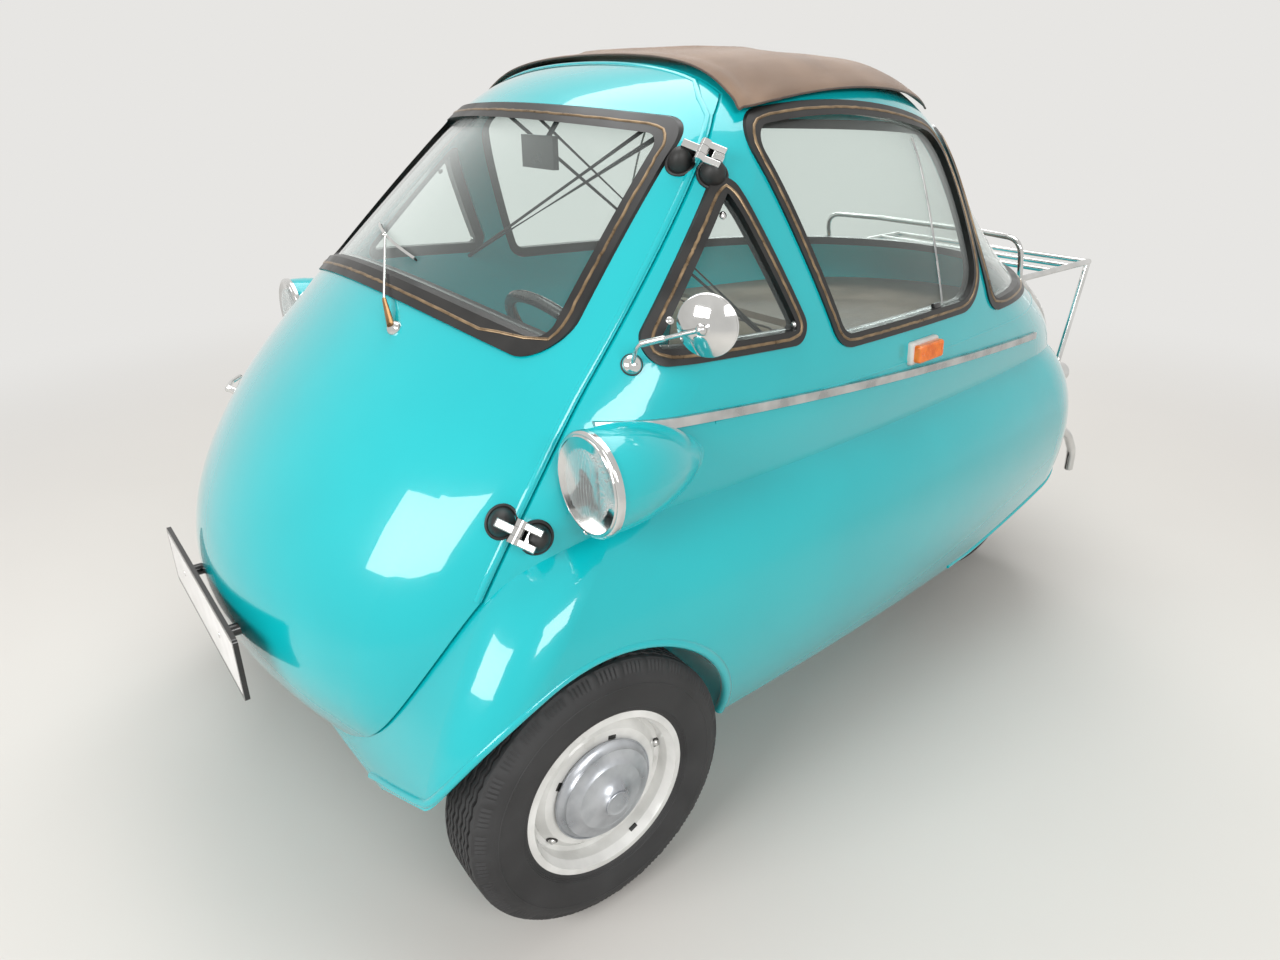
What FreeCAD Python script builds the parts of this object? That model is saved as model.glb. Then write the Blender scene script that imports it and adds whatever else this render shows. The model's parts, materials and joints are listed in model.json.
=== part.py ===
import FreeCAD, Part
import math
import os
from FreeCAD import Placement, Rotation, Vector

# Two-seat bubble car with one front door, in millimetres.
# +X is the car's left, +Y its tail, +Z up, and the origin is on the ground below its middle.

doc = FreeCAD.newDocument("BubbleCar")
sheet = doc.addObject("Spreadsheet::Sheet", "Sizes")

SIZES = (
    # alias, value, meaning
    ("wheelbase", 1500, "front axle to rear axle"),
    ("front_axle_back", 418, "nose to front axle"),
    ("nose_reach", 1143, "middle of the car to its nose"),
    ("front_track", 1208, "between the middles of the front tyres"),
    ("rear_track", 520, "between the middles of the rear tyres"),
    ("tyre_radius", 240, "outer radius of a tyre"),
    ("tyre_half_width", 62, "half the width of a tyre"),
    ("bead_radius", 142, "radius where tyre meets rim"),
    ("bead_half_width", 46, "half the width between the beads"),
    ("cap_radius", 92, "radius of a hub cap"),
    ("hub_bore", 16, "radius of a wheel's bore"),
    ("kingpin_inset", 66, "tyre middle to kingpin"),
    ("kingpin_radius", 11, "radius of a kingpin"),
    ("sleeve_radius", 23, "outer radius of a kingpin sleeve"),
    ("sleeve_length", 84, "length of a kingpin sleeve"),
    ("arch_radius", 285, "radius of a front wheel arch"),
    ("arch_height", 223, "height of the arch centre"),
    ("arch_inner", 418, "car's middle to the inner face of a front arch"),
    ("house_wall", 14, "thickness of a wheel house"),
    ("wall", 28, "thickness of the body walls"),
    ("roof_wall", 20, "thickness of the roof"),
    ("floor_low", 230, "height of the floor's underside"),
    ("floor_thick", 20, "thickness of the floor"),
    ("belt_height", 800, "height where lower body and upper frame are welded"),
    ("bulkhead_back", 330, "car's middle to the engine bulkhead"),
    ("bulkhead_thick", 20, "thickness of the bulkhead"),
    ("shelf_height", 700, "height of the rear shelf"),
    ("shelf_thick", 20, "thickness of the rear shelf"),
    ("door_gap", 5, "gap round the door"),
    ("sill_height", 258, "height of the door's lower edge"),
    ("glass_thick", 5, "thickness of the windows"),
    ("glass_sink", 8, "skin to the outside of the glass"),
    ("seal_width", 24, "width of a window rubber"),
    ("seal_proud", 4, "height of a window rubber above the skin"),
    ("seal_depth", 20, "depth of a window rubber below the skin"),
    ("fit", 0.3, "clearance between seated pieces"),
    ("fabric_thick", 10, "thickness of the fabric roof"),
    ("hinge_stand", 24, "door hinge axis above the skin"),
    ("rail_radius", 28, "radius of a chassis tube"),
    ("rail_offset", 165, "car's middle to a chassis tube"),
    ("lamp_radius", 68, "radius of a headlamp glass"),
    ("rack_radius", 8, "radius of the luggage rack's tube"),
    ("wheel_rim_radius", 185, "radius of the steering wheel"),
    ("axle_radius", 15, "radius of the rear axle"),
    ("pin_fit", 0.05, "clearance round an axle, kingpin or hinge pin"),
    ("lug_gap", 5, "kingpin sleeve to the knuckle's lugs"),
    ("plate_length", 500, "length of the front plate"),
    ("plate_height", 118, "height of the front plate"),
    ("plate_stand", 14, "door skin to the back of the front plate"),
)
for line, (alias, value, meaning) in enumerate(SIZES, 1):
    sheet.set(f"A{line}", meaning)
    sheet.set(f"B{line}", str(value))
    sheet.setAlias(f"B{line}", alias)
doc.recompute()


def size(alias):
    return float(sheet.get(alias))


nodes = []


def keep(label, thing):
    thing.Label = label
    nodes.append(thing)
    return thing


def solid(name, shape):
    # A feature that holds only the closed solids of a shape.
    thing = doc.addObject("Part::Feature", name)
    pieces = shape.Solids
    thing.Shape = pieces[0] if len(pieces) == 1 else Part.makeCompound(pieces)
    return thing


def bind(thing, **expressions):
    for prop, text in expressions.items():
        thing.setExpression(prop.replace("_", "."), text)
    return thing


def cut(name, base, tool):
    thing = doc.addObject("Part::Cut", name)
    thing.Base = base
    thing.Tool = tool
    return thing


def common(name, one, other):
    thing = doc.addObject("Part::Common", name)
    thing.Base = one
    thing.Tool = other
    return thing


def fuse(name, *parts):
    thing = doc.addObject("Part::MultiFuse", name)
    thing.Shapes = list(parts)
    return thing


# Body sections
# A section is a level outline of arcs that meet tangentially: nose, corner, flank, quarter and tail.
# Each arc turns the outline from one heading to the next.

FLANK_HEADING = math.radians(100)
QUARTER_HEADING = math.radians(150)

CABIN = (
    # height, nose, tail, half width, nose radius, nose heading, tail radius
    (230, -1036, 950, 474, 1000, 22, 420),
    (330, -1100, 1060, 516, 960, 24, 420),
    (450, -1132, 1130, 546, 920, 27, 420),
    (580, -1106, 1125, 572, 880, 30, 420),
    (720, -1024, 1070, 594, 840, 33, 420),
    (860, -899, 890, 594, 800, 36, 400),
    (1000, -752, 730, 554, 765, 37, 380),
    (1120, -622, 630, 508, 720, 37, 350),
    (1220, -510, 530, 454, 650, 36, 310),
    (1290, -398, 405, 386, 550, 34, 255),
    (1322, -285, 240, 290, 430, 32, 190),
    (1335, -215, 80, 190, 330, 30, 130),
)
PONTOON = (
    # height, front, tail, half width, corner radius, front heading, tail radius
    (230, -1022, 1070, 614, 70, 4.5, 700),
    (330, -1018, 1090, 652, 80, 4.5, 700),
    (430, -988, 1105, 668, 90, 4.5, 700),
    (530, -932, 1100, 664, 100, 4.5, 680),
    (610, -868, 1070, 638, 110, 4.5, 640),
    (665, -800, 1030, 592, 120, 4.5, 580),
    (700, -730, 980, 540, 130, 4.5, 500),
)


def outline(height, nose, tail, half, nose_radius, heading, tail_radius):
    first = math.radians(heading)
    corner = (half - nose_radius * math.sin(first)) / (1 - math.sin(first))
    fore = nose_radius * (1 - math.cos(first)) + corner * math.cos(first)
    a = 1 - math.sin(FLANK_HEADING)
    b = math.sin(FLANK_HEADING) - math.sin(QUARTER_HEADING)
    e = half - tail_radius * math.sin(QUARTER_HEADING)
    d = -math.cos(FLANK_HEADING)
    f = math.cos(FLANK_HEADING) - math.cos(QUARTER_HEADING)
    g = tail - nose - fore - tail_radius * (1 + math.cos(QUARTER_HEADING))
    root = a * f - b * d
    flank = (e * f - b * g) / root
    quarter = (a * g - e * d) / root
    radii = (nose_radius, corner, flank, quarter, tail_radius)
    headings = (0, first, math.pi / 2, FLANK_HEADING, QUARTER_HEADING, math.pi)
    x, y = 0.0, nose
    arcs = []
    for radius, start, end in zip(radii, headings, headings[1:]):
        bends = [start, (start + end) / 2, end]
        arcs.append([
            (x + radius * (math.sin(bend) - math.sin(start)),
             y + radius * (math.cos(start) - math.cos(bend)))
            for bend in bends])
        x, y = arcs[-1][-1]

    def arc(points):
        return Part.Arc(*[Vector(px, py, height) for px, py in points]).toShape()

    def mirrored(points):
        return [(-px, py) for px, py in reversed(points)]

    nose_end, tail_start = arcs[0][-1], arcs[-1][0]
    edges = [arc([(-nose_end[0], nose_end[1]), (0, nose), nose_end])]
    edges += [arc(points) for points in arcs[1:-1]]
    edges += [arc([tail_start, (0, tail), (-tail_start[0], tail_start[1])])]
    edges += [arc(mirrored(points)) for points in reversed(arcs[1:-1])]
    return Part.Wire(edges)


def cabin_form(inset, drop=0.0):
    # The cabin's skin moved inwards by inset, and its crown lowered by drop.
    low, high = CABIN[0][0], CABIN[-1][0]
    wires = []
    for height, nose, tail, half, nose_radius, heading, tail_radius in CABIN:
        share = (height - low) / (high - low)
        level = height - drop * share ** 3
        wires.append(outline(level, nose + inset, tail - inset, half - inset,
                             nose_radius - inset, heading, tail_radius - inset))
    return Part.makeLoft(wires, True, False)


def pontoon_form(inset, drop=0.0):
    low, high = PONTOON[0][0], PONTOON[-1][0]
    wires = []
    for height, front, tail, half, corner, heading, tail_radius in PONTOON:
        sine = math.sin(math.radians(heading))
        front_radius = (half - corner * (1 - sine)) / sine
        share = (height - low) / (high - low)
        level = height - drop * share ** 3
        wires.append(outline(level, front + inset, tail - inset, half - inset,
                             front_radius - inset, heading, tail_radius - inset))
    return Part.makeLoft(wires, True, False)


# Outlines
# A corner is (u, v, rounding, bulge): bulge bows the edge that follows outwards by that much.
# The corners go round anticlockwise, with u to the right and v up.


def rail(corners, number, inset):
    # The edge after a corner, moved inwards: a point of it or its centre, its direction and its signed radius.
    u, v, rounding, bulge = corners[number]
    u2, v2 = corners[(number + 1) % len(corners)][:2]
    start = Vector(u, v, 0)
    run = math.hypot(u2 - u, v2 - v)
    along = Vector((u2 - u) / run, (v2 - v) / run, 0)
    inward = Vector(-along.y, along.x, 0)
    if not bulge:
        return start + inward * inset, along, 0
    radius = (run ** 2 / 4 + bulge ** 2) / (2 * bulge)
    return start + along * (run / 2) + inward * (radius - bulge), along, radius - inset


def meet(one, other, near):
    # Where two rails cross, nearest to a point.
    if one[2] and not other[2]:
        one, other = other, one
    (p, along, r), (q, beside, s) = one, other
    if r:
        gap = q - p
        reach = (r ** 2 - s ** 2 + gap.Length ** 2) / (2 * gap.Length)
        middle = p + gap * (reach / gap.Length)
        aside = Vector(-gap.y, gap.x, 0) * (math.sqrt(r ** 2 - reach ** 2) / gap.Length)
        points = [middle + aside, middle - aside]
    elif s:
        middle = p + along * (q - p).dot(along)
        reach = math.sqrt(s ** 2 - (middle - q).Length ** 2)
        points = [middle + along * reach, middle - along * reach]
    else:
        points = [p + along * ((q - p).cross(beside).z / along.cross(beside).z)]
    return min(points, key=lambda point: (point - near).Length)


def bowed(start, end, centre, radius, place):
    toward = ((start + end) / 2 - centre).normalize()
    middle = centre + toward * abs(radius)
    return Part.Arc(place(start), place(middle), place(end)).toShape()


def touch(edge_rail, centre):
    # The point of a rail that lies nearest to a rounding's centre.
    p, along, radius = edge_rail
    if radius:
        return p + (centre - p).normalize() * abs(radius)
    return p + along * (centre - p).dot(along)


def window_face(corners, place, inset):
    # The flat face inside an outline moved inwards by inset, with its corners rounded.
    rails = [rail(corners, number, inset) for number in range(len(corners))]
    bends = []
    for number, (u, v, rounding, bulge) in enumerate(corners):
        deep = max(rounding, inset)
        centre = meet(rail(corners, number - 1, deep), rail(corners, number, deep), Vector(u, v, 0))
        bends.append((touch(rails[number - 1], centre), centre, touch(rails[number], centre)))
    edges = []
    for number, (first, centre, last) in enumerate(bends):
        rounding = corners[number][2]
        if rounding > inset:
            edges.append(bowed(first, last, centre, rounding - inset, place))
        following = bends[(number + 1) % len(bends)][0]
        middle, along, radius = rails[number]
        if radius:
            edges.append(bowed(last, following, middle, radius, place))
        else:
            edges.append(Part.LineSegment(place(last), place(following)).toShape())
    return Part.Face(Part.Wire(edges))


def side_place(point):
    return Vector(0, point.x, point.y)


def front_place(point):
    return Vector(point.x, 0, point.y)


def swept(corners, place, inset, start, run):
    # The outline's face moved to start and swept along run.
    face = window_face(corners, place, inset)
    face.translate(start)
    return face.extrude(run)


HALF_SPAN = 900
SIDE_WINDOW = (
    (-172, 862, 55, 0), (322, 858, 95, 22), (300, 1206, 100, 34), (-322, 1238, 55, 0))
QUARTER_WINDOW = (
    (-612, 903, 30, 0), (-236, 887, 32, 0), (-364, 1172, 26, 0))
REAR_WINDOW = (
    (368, 838, 55, 0), (960, 838, 0, 0), (960, 1200, 0, 0), (352, 1200, 60, 22))
WINDSCREEN = (
    (-490, 897, 40, -68), (490, 897, 40, 0), (402, 1232, 58, 22), (-402, 1232, 58, 0))
ENGINE_LID = (
    (380, 350, 24, 0), (735, 372, 24, 0), (725, 585, 24, 0), (372, 585, 24, 0))
SEAM = (
    # the door's rear edge seen from the side, from the sill up to the roof
    (-998, 225), (-852, 612), (-657, 882), (-322, 1236), (-284, 1268), (-281, 1420))


def seam_region(shift):
    # All that lies ahead of the seam, moved back by shift.
    low, bend, middle, high, header, crown = [Vector(0, u + shift, v) for u, v in SEAM]
    edges = [
        Part.Arc(low, bend, middle).toShape(),
        Part.LineSegment(middle, high).toShape(),
        Part.LineSegment(high, header).toShape(),
        Part.LineSegment(header, crown).toShape(),
        Part.LineSegment(crown, Vector(0, -1400, crown.z)).toShape(),
        Part.LineSegment(Vector(0, -1400, crown.z), Vector(0, -1400, low.z)).toShape(),
        Part.LineSegment(Vector(0, -1400, low.z), low).toShape()]
    face = Part.Face(Part.Wire(edges))
    face.translate(Vector(-HALF_SPAN, 0, 0))
    return face.extrude(Vector(2 * HALF_SPAN, 0, 0))


def slab(x0, x1, y0, y1, z0, z1):
    return Part.makeBox(x1 - x0, y1 - y0, z1 - z0, Vector(x0, y0, z0))


def pillar(radius, start, end):
    # A round bar from start to end.
    run = end.sub(start)
    return Part.makeCylinder(radius, run.Length, start, run)


def both_sides(shape):
    return shape.fuse(shape.mirror(Vector(0, 0, 0), Vector(1, 0, 0)))


def mirrored(shape):
    return shape.mirror(Vector(0, 0, 0), Vector(1, 0, 0))


def through(corners, inset):
    return swept(corners, side_place, inset, Vector(-HALF_SPAN, 0, 0), Vector(2 * HALF_SPAN, 0, 0))


def through_left(corners, inset):
    return swept(corners, side_place, inset, Vector(60, 0, 0), Vector(HALF_SPAN, 0, 0))


def through_right(corners, inset):
    return swept(corners, side_place, inset, Vector(-HALF_SPAN, 0, 0), Vector(HALF_SPAN - 300, 0, 0))


def biggest(shape):
    return max(shape.Solids, key=lambda piece: piece.Volume)


def through_front(corners, inset):
    return swept(corners, front_place, inset, Vector(0, -1300, 0), Vector(0, 1100, 0))


# Places

wall = size("wall")
roof = size("roof_wall")
fit = size("fit")
gap = size("door_gap")
front_axle = size("front_axle_back") - size("nose_reach")
rear_axle = front_axle + size("wheelbase")
tyre = size("tyre_radius")
front_half = size("front_track") / 2
rear_half = size("rear_track") / 2
belt = size("belt_height")
floor_top = size("floor_low") + size("floor_thick")
shelf_low = size("shelf_height")
shelf_top = shelf_low + size("shelf_thick")
bulkhead = size("bulkhead_back")
sill = size("sill_height")

# Body forms

cabin = solid("CabinSkin", cabin_form(0))
pontoon = solid("PontoonSkin", pontoon_form(0))
cabin_inner = solid("CabinInside", cabin_form(wall, roof))
pontoon_inner = solid("PontoonInside", pontoon_form(wall, wall))
shell_outer = fuse("ShellOutside", cabin, pontoon)
doc.recompute()


def reach(shape, start, direction, length=1500):
    # Where a ray from inside last leaves the shape.
    line = Part.LineSegment(start, start.add(Vector(direction).multiply(length))).toShape()
    inside = shape.common(line)
    points = [v.Point for v in inside.Vertexes]
    return max(points, key=lambda p: p.sub(start).dot(direction))


def flank(y, z, form=None):
    return reach(form or cabin.Shape, Vector(0, y, z), Vector(1, 0, 0)).x


def nose(x, z, form=None):
    return reach(form or cabin.Shape, Vector(x, 0, z), Vector(0, -1, 0)).y


def stern(x, z, form=None):
    return reach(form or shell_outer.Shape, Vector(x, 0, z), Vector(0, 1, 0)).y


# Lower body

arch_middle = Vector(0, front_axle, size("arch_height"))


def arch_tool(radius, inner):
    return both_sides(pillar(radius, arch_middle.add(Vector(inner, 0, 0)), arch_middle.add(Vector(HALF_SPAN, 0, 0))))


house = size("house_wall")
arches = solid("Arches", arch_tool(size("arch_radius"), size("arch_inner")))
houses = arch_tool(size("arch_radius") + house, size("arch_inner") - house)
engine_start = bulkhead + size("bulkhead_thick")
rooms = solid("Rooms", cabin_inner.Shape.cut(houses))
engine_room = solid("EngineRoom", pontoon_inner.Shape.common(slab(-800, 800, engine_start, 1300, 200, shelf_low)))

UNDERCUT = ((430, 180), (430, 231), (1000, 350), (1150, 440), (1300, 440), (1300, 180))
under_wire = Part.makePolygon([Vector(-HALF_SPAN, u, v) for u, v in UNDERCUT + UNDERCUT[:1]])
undercut = solid("Undercut", Part.Face(under_wire).extrude(Vector(2 * HALF_SPAN, 0, 0)))
door_room = seam_region(0).common(cabin_form(-6, -6)).common(slab(-800, 800, -1400, 400, sill - gap, 1500))
door_room = solid("DoorRoom", door_room.cut(pontoon.Shape))
openings = [
    solid("SideHole", through(SIDE_WINDOW, 0)),
    solid("QuarterHole", through(QUARTER_WINDOW, 0)),
    solid("RearHole", through(REAR_WINDOW, 0))]
lid_hole = solid("LidHole", through_right(ENGINE_LID, 0))
roof_hole = solid("RoofHole", slab(-270, 270, -230, 340, 1200, 1500))
shell = shell_outer
for tool in [rooms, engine_room, undercut, door_room, lid_hole, roof_hole, arches] + openings:
    shell = cut("Shell" + tool.Name, shell, tool)
below = solid("BelowBelt", slab(-900, 900, -1400, 1400, 0, belt))
above = solid("AboveBelt", slab(-900, 900, -1400, 1400, belt, 1600))
keep("lower_body", common("LowerBody", shell, below))
keep("upper_frame", common("UpperFrame", shell, above))

# Floor, bulkhead and rear shelf: flat panels that meet the inside of the walls

PANELS = (
    # name, front, back, underside, top
    ("floor_pan", -1300, engine_start, size("floor_low"), floor_top),
    ("bulkhead", bulkhead, engine_start, floor_top, shelf_low),
    ("rear_shelf", bulkhead, 1300, shelf_low, shelf_top))
for label, front, back, low, high in PANELS:
    panel = cabin_inner.Shape.common(slab(-800, 800, front, back, low, high)).cut(houses)
    keep(label, solid(label.title().replace("_", ""), panel))

# Door

door_zone = seam_region(-gap).common(slab(-800, 800, -1400, 400, sill, 1500))
door_skin = cabin.Shape.cut(cabin_inner.Shape).common(door_zone).cut(pontoon_form(-gap, -gap))
door_skin = solid("DoorSkin", door_skin)
screen_hole = solid("ScreenHole", through_front(WINDSCREEN, 0))
keep("door_shell", cut("DoorShell", door_skin, screen_hole))

# Windows

def skin_layer(outer, inner):
    return cabin_form(outer, outer).cut(cabin_form(inner, inner))


sink = size("glass_sink")
rim_width = size("seal_width")
rubber_layer = skin_layer(-size("seal_proud"), size("seal_depth"))
glass_layer = skin_layer(sink, sink + size("glass_thick"))


def rubber(corners, sweep):
    return rubber_layer.common(sweep(corners, fit).cut(sweep(corners, rim_width)))


def pane(corners, sweep):
    return glass_layer.common(sweep(corners, rim_width + fit))


side_pane = pane(SIDE_WINDOW, through_left)
for hand, turn in (("left", 0), ("right", 1)):
    keep("side_window_" + hand, solid("SideWindow" + hand, mirrored(side_pane) if turn else side_pane))
keep("quarter_windows", solid("QuarterWindows", both_sides(pane(QUARTER_WINDOW, through_left))))
side_rubbers = rubber(SIDE_WINDOW, through_left).fuse(rubber(QUARTER_WINDOW, through_left))
keep("window_rubbers", solid("WindowRubbers", both_sides(side_rubbers)))
keep("rear_window", solid("RearWindow", pane(REAR_WINDOW, through)))
keep("rear_window_rubber", solid("RearWindowRubber", rubber(REAR_WINDOW, through)))
ahead_of_seam = seam_region(-gap)
keep("windscreen", solid("Windscreen", pane(WINDSCREEN, through_front).common(ahead_of_seam)))
keep("windscreen_rubber", solid("WindscreenRubber", rubber(WINDSCREEN, through_front).common(ahead_of_seam)))

# Fabric roof

CANVAS = ((-297, 1243), (-30, 1274), (400, 1232), (436, 1420), (-266, 1420))
hem_start, hem_middle, hem_end, back_top, front_top = [Vector(-HALF_SPAN, u, v) for u, v in CANVAS]
canvas_edges = [Part.Arc(hem_start, hem_middle, hem_end).toShape()]
canvas_edges += [Part.LineSegment(one, two).toShape() for one, two in (
    (hem_end, back_top), (back_top, front_top), (front_top, hem_start))]
canvas_zone = Part.Face(Part.Wire(canvas_edges)).extrude(Vector(2 * HALF_SPAN, 0, 0))
canvas = skin_layer(-size("fabric_thick") - 1, -1).common(canvas_zone)
keep("fabric_roof", solid("FabricRoof", canvas))

# Headlamps: each pod is lofted from rings that lean in towards the body

lamp = size("lamp_radius")
LAMP_MIDDLE = Vector(648, -732, 785)
POD_RINGS = (
    # set back, shift sideways, drop, radius as a share of the glass
    (0, 0, 0, 1.08), (45, -4, -1, 1.09), (110, -14, -5, 0.94), (175, -28, -12, 0.62), (225, -42, -20, 0.2))


def ring_wire(middle, radius, direction):
    return Part.Wire(Part.makeCircle(radius, middle, direction))


BACK = Vector(0, 1, 0)
pod_wires = [ring_wire(LAMP_MIDDLE.add(Vector(aside, back, down)), lamp * share, BACK)
             for back, aside, down, share in POD_RINGS]
skin_clear = cabin_form(-fit, -fit)
pontoon_clear = pontoon_form(-fit, -fit)
pod = Part.makeLoft(pod_wires, True, False).cut(skin_clear)
TRIM_LINE = ((-672, 837), (-300, 809), (640, 745))
TRIM_DEEP = 15


def trim_zone(margin):
    upper = [Vector(0, u, v + margin) for u, v in TRIM_LINE]
    lower = [Vector(0, u, v - TRIM_DEEP - margin) for u, v in TRIM_LINE]
    edges = [Part.Arc(*upper).toShape(), Part.LineSegment(upper[2], lower[2]).toShape(),
             Part.Arc(lower[2], lower[1], lower[0]).toShape(), Part.LineSegment(lower[0], upper[0]).toShape()]
    return Part.Face(Part.Wire(edges)).extrude(Vector(HALF_SPAN, 0, 0))


trim_layer = skin_layer(-7, -fit)
trim = trim_layer.common(trim_zone(0))
pod = pod.cut(skin_layer(-7 - fit, 0).common(trim_zone(fit)))
pod = biggest(pod)
keep("trim_strips", solid("TrimStrips", both_sides(trim)))
keep("headlamp_pods", solid("HeadlampPods", both_sides(pod)))
LAMP_LEAD = 10
DOME = 13
front_middle = LAMP_MIDDLE.sub(Vector(0, fit, 0))
lamp_ring = pillar(lamp * 1.13, front_middle, front_middle.sub(Vector(0, LAMP_LEAD, 0)))
lamp_ring = lamp_ring.makeFillet(4, [e for e in lamp_ring.Edges if abs(e.CenterOfMass.y - front_middle.y + LAMP_LEAD) < 0.1 and e.Closed])
lamp_ring = lamp_ring.cut(pillar(lamp, front_middle.add(Vector(0, 1, 0)), front_middle.sub(Vector(0, 30, 0))))
keep("headlamp_rings", solid("HeadlampRings", both_sides(lamp_ring)))
glass_middle = front_middle
glass_edge = lamp - fit
ball = (glass_edge ** 2 + DOME ** 2) / (2 * DOME)
lens_ball = Part.makeSphere(ball, glass_middle.add(Vector(0, ball - DOME - 6, 0)))
lens = lens_ball.common(pillar(glass_edge, glass_middle, glass_middle.sub(Vector(0, 40, 0))))
keep("headlamp_glasses", solid("HeadlampGlasses", both_sides(lens)))

# Side indicators, mirror and tail lamps

INDICATOR = Vector(0, 86, 815)
ind_skin = flank(INDICATOR.y, INDICATOR.z)
base_box = slab(ind_skin - 60, ind_skin + 8, INDICATOR.y - 48, INDICATOR.y + 48, INDICATOR.z - 22, INDICATOR.z + 22)
lens_box = slab(ind_skin - 60, ind_skin + 26, INDICATOR.y - 42, INDICATOR.y + 42, INDICATOR.z - 17, INDICATOR.z + 17)
lens_box = lens_box.makeFillet(6, [e for e in lens_box.Edges if e.CenterOfMass.x > ind_skin + 20])
base = base_box.cut(skin_clear)
amber = lens_box.cut(skin_clear).cut(slab(0, ind_skin + 8 + fit, -900, 900, 0, 1500))
keep("indicator_bases", solid("IndicatorBases", both_sides(base)))
keep("indicator_lamps", solid("IndicatorLamps", both_sides(amber)))

MIRROR_FOOT = (-596, 906)
MIRROR_HEAD = Vector(660, -545, 977)
MIRROR_FACE = Vector(-0.5, 0.86, 0)
foot = Vector(flank(*MIRROR_FOOT), *MIRROR_FOOT)
foot_disc = pillar(14, foot.sub(Vector(30, 0, 0)), foot.add(Vector(10, -3, 2))).cut(skin_clear)
elbow = foot.add(Vector(40, 6, 22))
mirror_arm = pillar(4, foot.add(Vector(2, 0, 0)), elbow).cut(skin_clear).fuse(Part.makeSphere(4, elbow))
mirror_arm = mirror_arm.fuse(pillar(4, elbow, MIRROR_HEAD))
head_shape = pillar(45, MIRROR_HEAD, MIRROR_HEAD.add(Vector(MIRROR_FACE).multiply(11)))
dome_ball = Part.makeSphere(75, MIRROR_HEAD.add(Vector(MIRROR_FACE).multiply(60)))
head_shape = head_shape.fuse(dome_ball.common(pillar(45, MIRROR_HEAD.sub(Vector(MIRROR_FACE).multiply(20)), MIRROR_HEAD)))
keep("door_mirror", solid("DoorMirror", foot_disc.fuse(mirror_arm).fuse(head_shape)))

TAIL_LAMP = (385, 560)
lamp_back = stern(*TAIL_LAMP)
tail_lamp = pillar(27, Vector(TAIL_LAMP[0], lamp_back - 60, TAIL_LAMP[1]), Vector(TAIL_LAMP[0], lamp_back + 26, TAIL_LAMP[1]))
tail_lamp = tail_lamp.cut(skin_clear).cut(pontoon_clear)
keep("tail_lamps", solid("TailLamps", both_sides(biggest(tail_lamp))))

# Luggage rack: two side frames of bent tube and the cross tubes that join them

rack = size("rack_radius")


def bent_tube(radius, points):
    tube = Part.makeSphere(radius, points[0])
    for one, two in zip(points, points[1:]):
        tube = tube.fuse([pillar(radius, one, two), Part.makeSphere(radius, two)])
    return tube


RACK_X = 322
RACK_LEVELS = (822, 760, 720, 680, 638, 590, 534)
RACK_STAND = 4
leg = [Vector(RACK_X, stern(RACK_X, level) + rack + RACK_STAND, level) for level in RACK_LEVELS]
loop_top = Vector(RACK_X, leg[0].y - 22, 924)
rear_foot = Vector(RACK_X, leg[-1].y + 52, 552)
rear_top = Vector(RACK_X, 1146, 830)
side_frame = bent_tube(rack, [loop_top] + leg + [rear_foot, rear_top, leg[0]])
FOOT_RADIUS = 12
feet = [pillar(FOOT_RADIUS, place.sub(Vector(0, 3 * rack, 0)), place) for place in (leg[3], leg[-1])]
side_frame = side_frame.fuse(feet).cut(skin_clear).cut(pontoon_clear)
frames = both_sides(biggest(side_frame))
CROSS_TUBE = 7
LOOP_BOW = 40
crosses = [bent_tube(CROSS_TUBE, [Vector(-RACK_X, loop_top.y, loop_top.z), Vector(-RACK_X / 2, loop_top.y + LOOP_BOW, loop_top.z),
                                  Vector(RACK_X / 2, loop_top.y + LOOP_BOW, loop_top.z), loop_top]),
           pillar(CROSS_TUBE, Vector(-RACK_X, rear_top.y, rear_top.z), rear_top)]
for share in (0.46, 0.73):
    joint = leg[0].add(rear_top.sub(leg[0]).multiply(share))
    crosses.append(pillar(CROSS_TUBE, Vector(-joint.x, joint.y, joint.z), joint))
for cross in crosses:
    frames = frames.fuse(cross)
keep("luggage_rack", solid("LuggageRack", frames))

# Rear bumper horns

HORN_X = 422
HORN_ROOT = 432
horn_root = stern(HORN_X, HORN_ROOT)
horn = bent_tube(12, [Vector(HORN_X, horn_root - 16, HORN_ROOT), Vector(HORN_X, horn_root + 70, 372),
                      Vector(HORN_X, horn_root + 110, 318), Vector(HORN_X, horn_root + 112, 262)])
horn = horn.cut(pontoon_clear).cut(skin_clear)
keep("bumper_horns", solid("BumperHorns", both_sides(biggest(horn))))

# Seats

SEAT_FRONT = -120
SEAT_LOW = 395
SEAT_HIGH = 505
REST_THICK = 85
REST_HEIGHT = 340
REST_LEAN = 10
SIDE_ROOM = 8
cabin_room = cabin_inner.Shape
rest_half = flank(bulkhead, SEAT_LOW, cabin_room) - SIDE_ROOM
rest = slab(-rest_half, rest_half, 0, REST_THICK, 0, REST_HEIGHT)
rest = rest.makeFillet(32, [e for e in rest.Edges if e.CenterOfMass.z > 1])
rest.rotate(Vector(0, 0, 0), Vector(1, 0, 0), -REST_LEAN)
rest_back = bulkhead - fit - REST_HEIGHT * math.sin(math.radians(REST_LEAN))
rest_front = rest_back - REST_THICK * math.cos(math.radians(REST_LEAN))
rest.translate(Vector(0, rest_front, SEAT_LOW + REST_THICK * math.sin(math.radians(REST_LEAN)) + fit))
keep("seat_back", solid("SeatBack", rest))
cushion_half = flank(rest_front, SEAT_LOW, cabin_room) - SIDE_ROOM
cushion = slab(-cushion_half, cushion_half, SEAT_FRONT, rest_front - fit, SEAT_LOW, SEAT_HIGH)
cushion = cushion.makeFillet(38, [e for e in cushion.Edges
                                  if e.CenterOfMass.z > SEAT_HIGH - 1 or abs(e.CenterOfMass.x) > cushion_half - 1])
keep("seat_cushion", solid("SeatCushion", cushion))
STAND_WALL = 20
stand_half = flank(bulkhead, floor_top, cabin_room) - SIDE_ROOM
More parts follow.
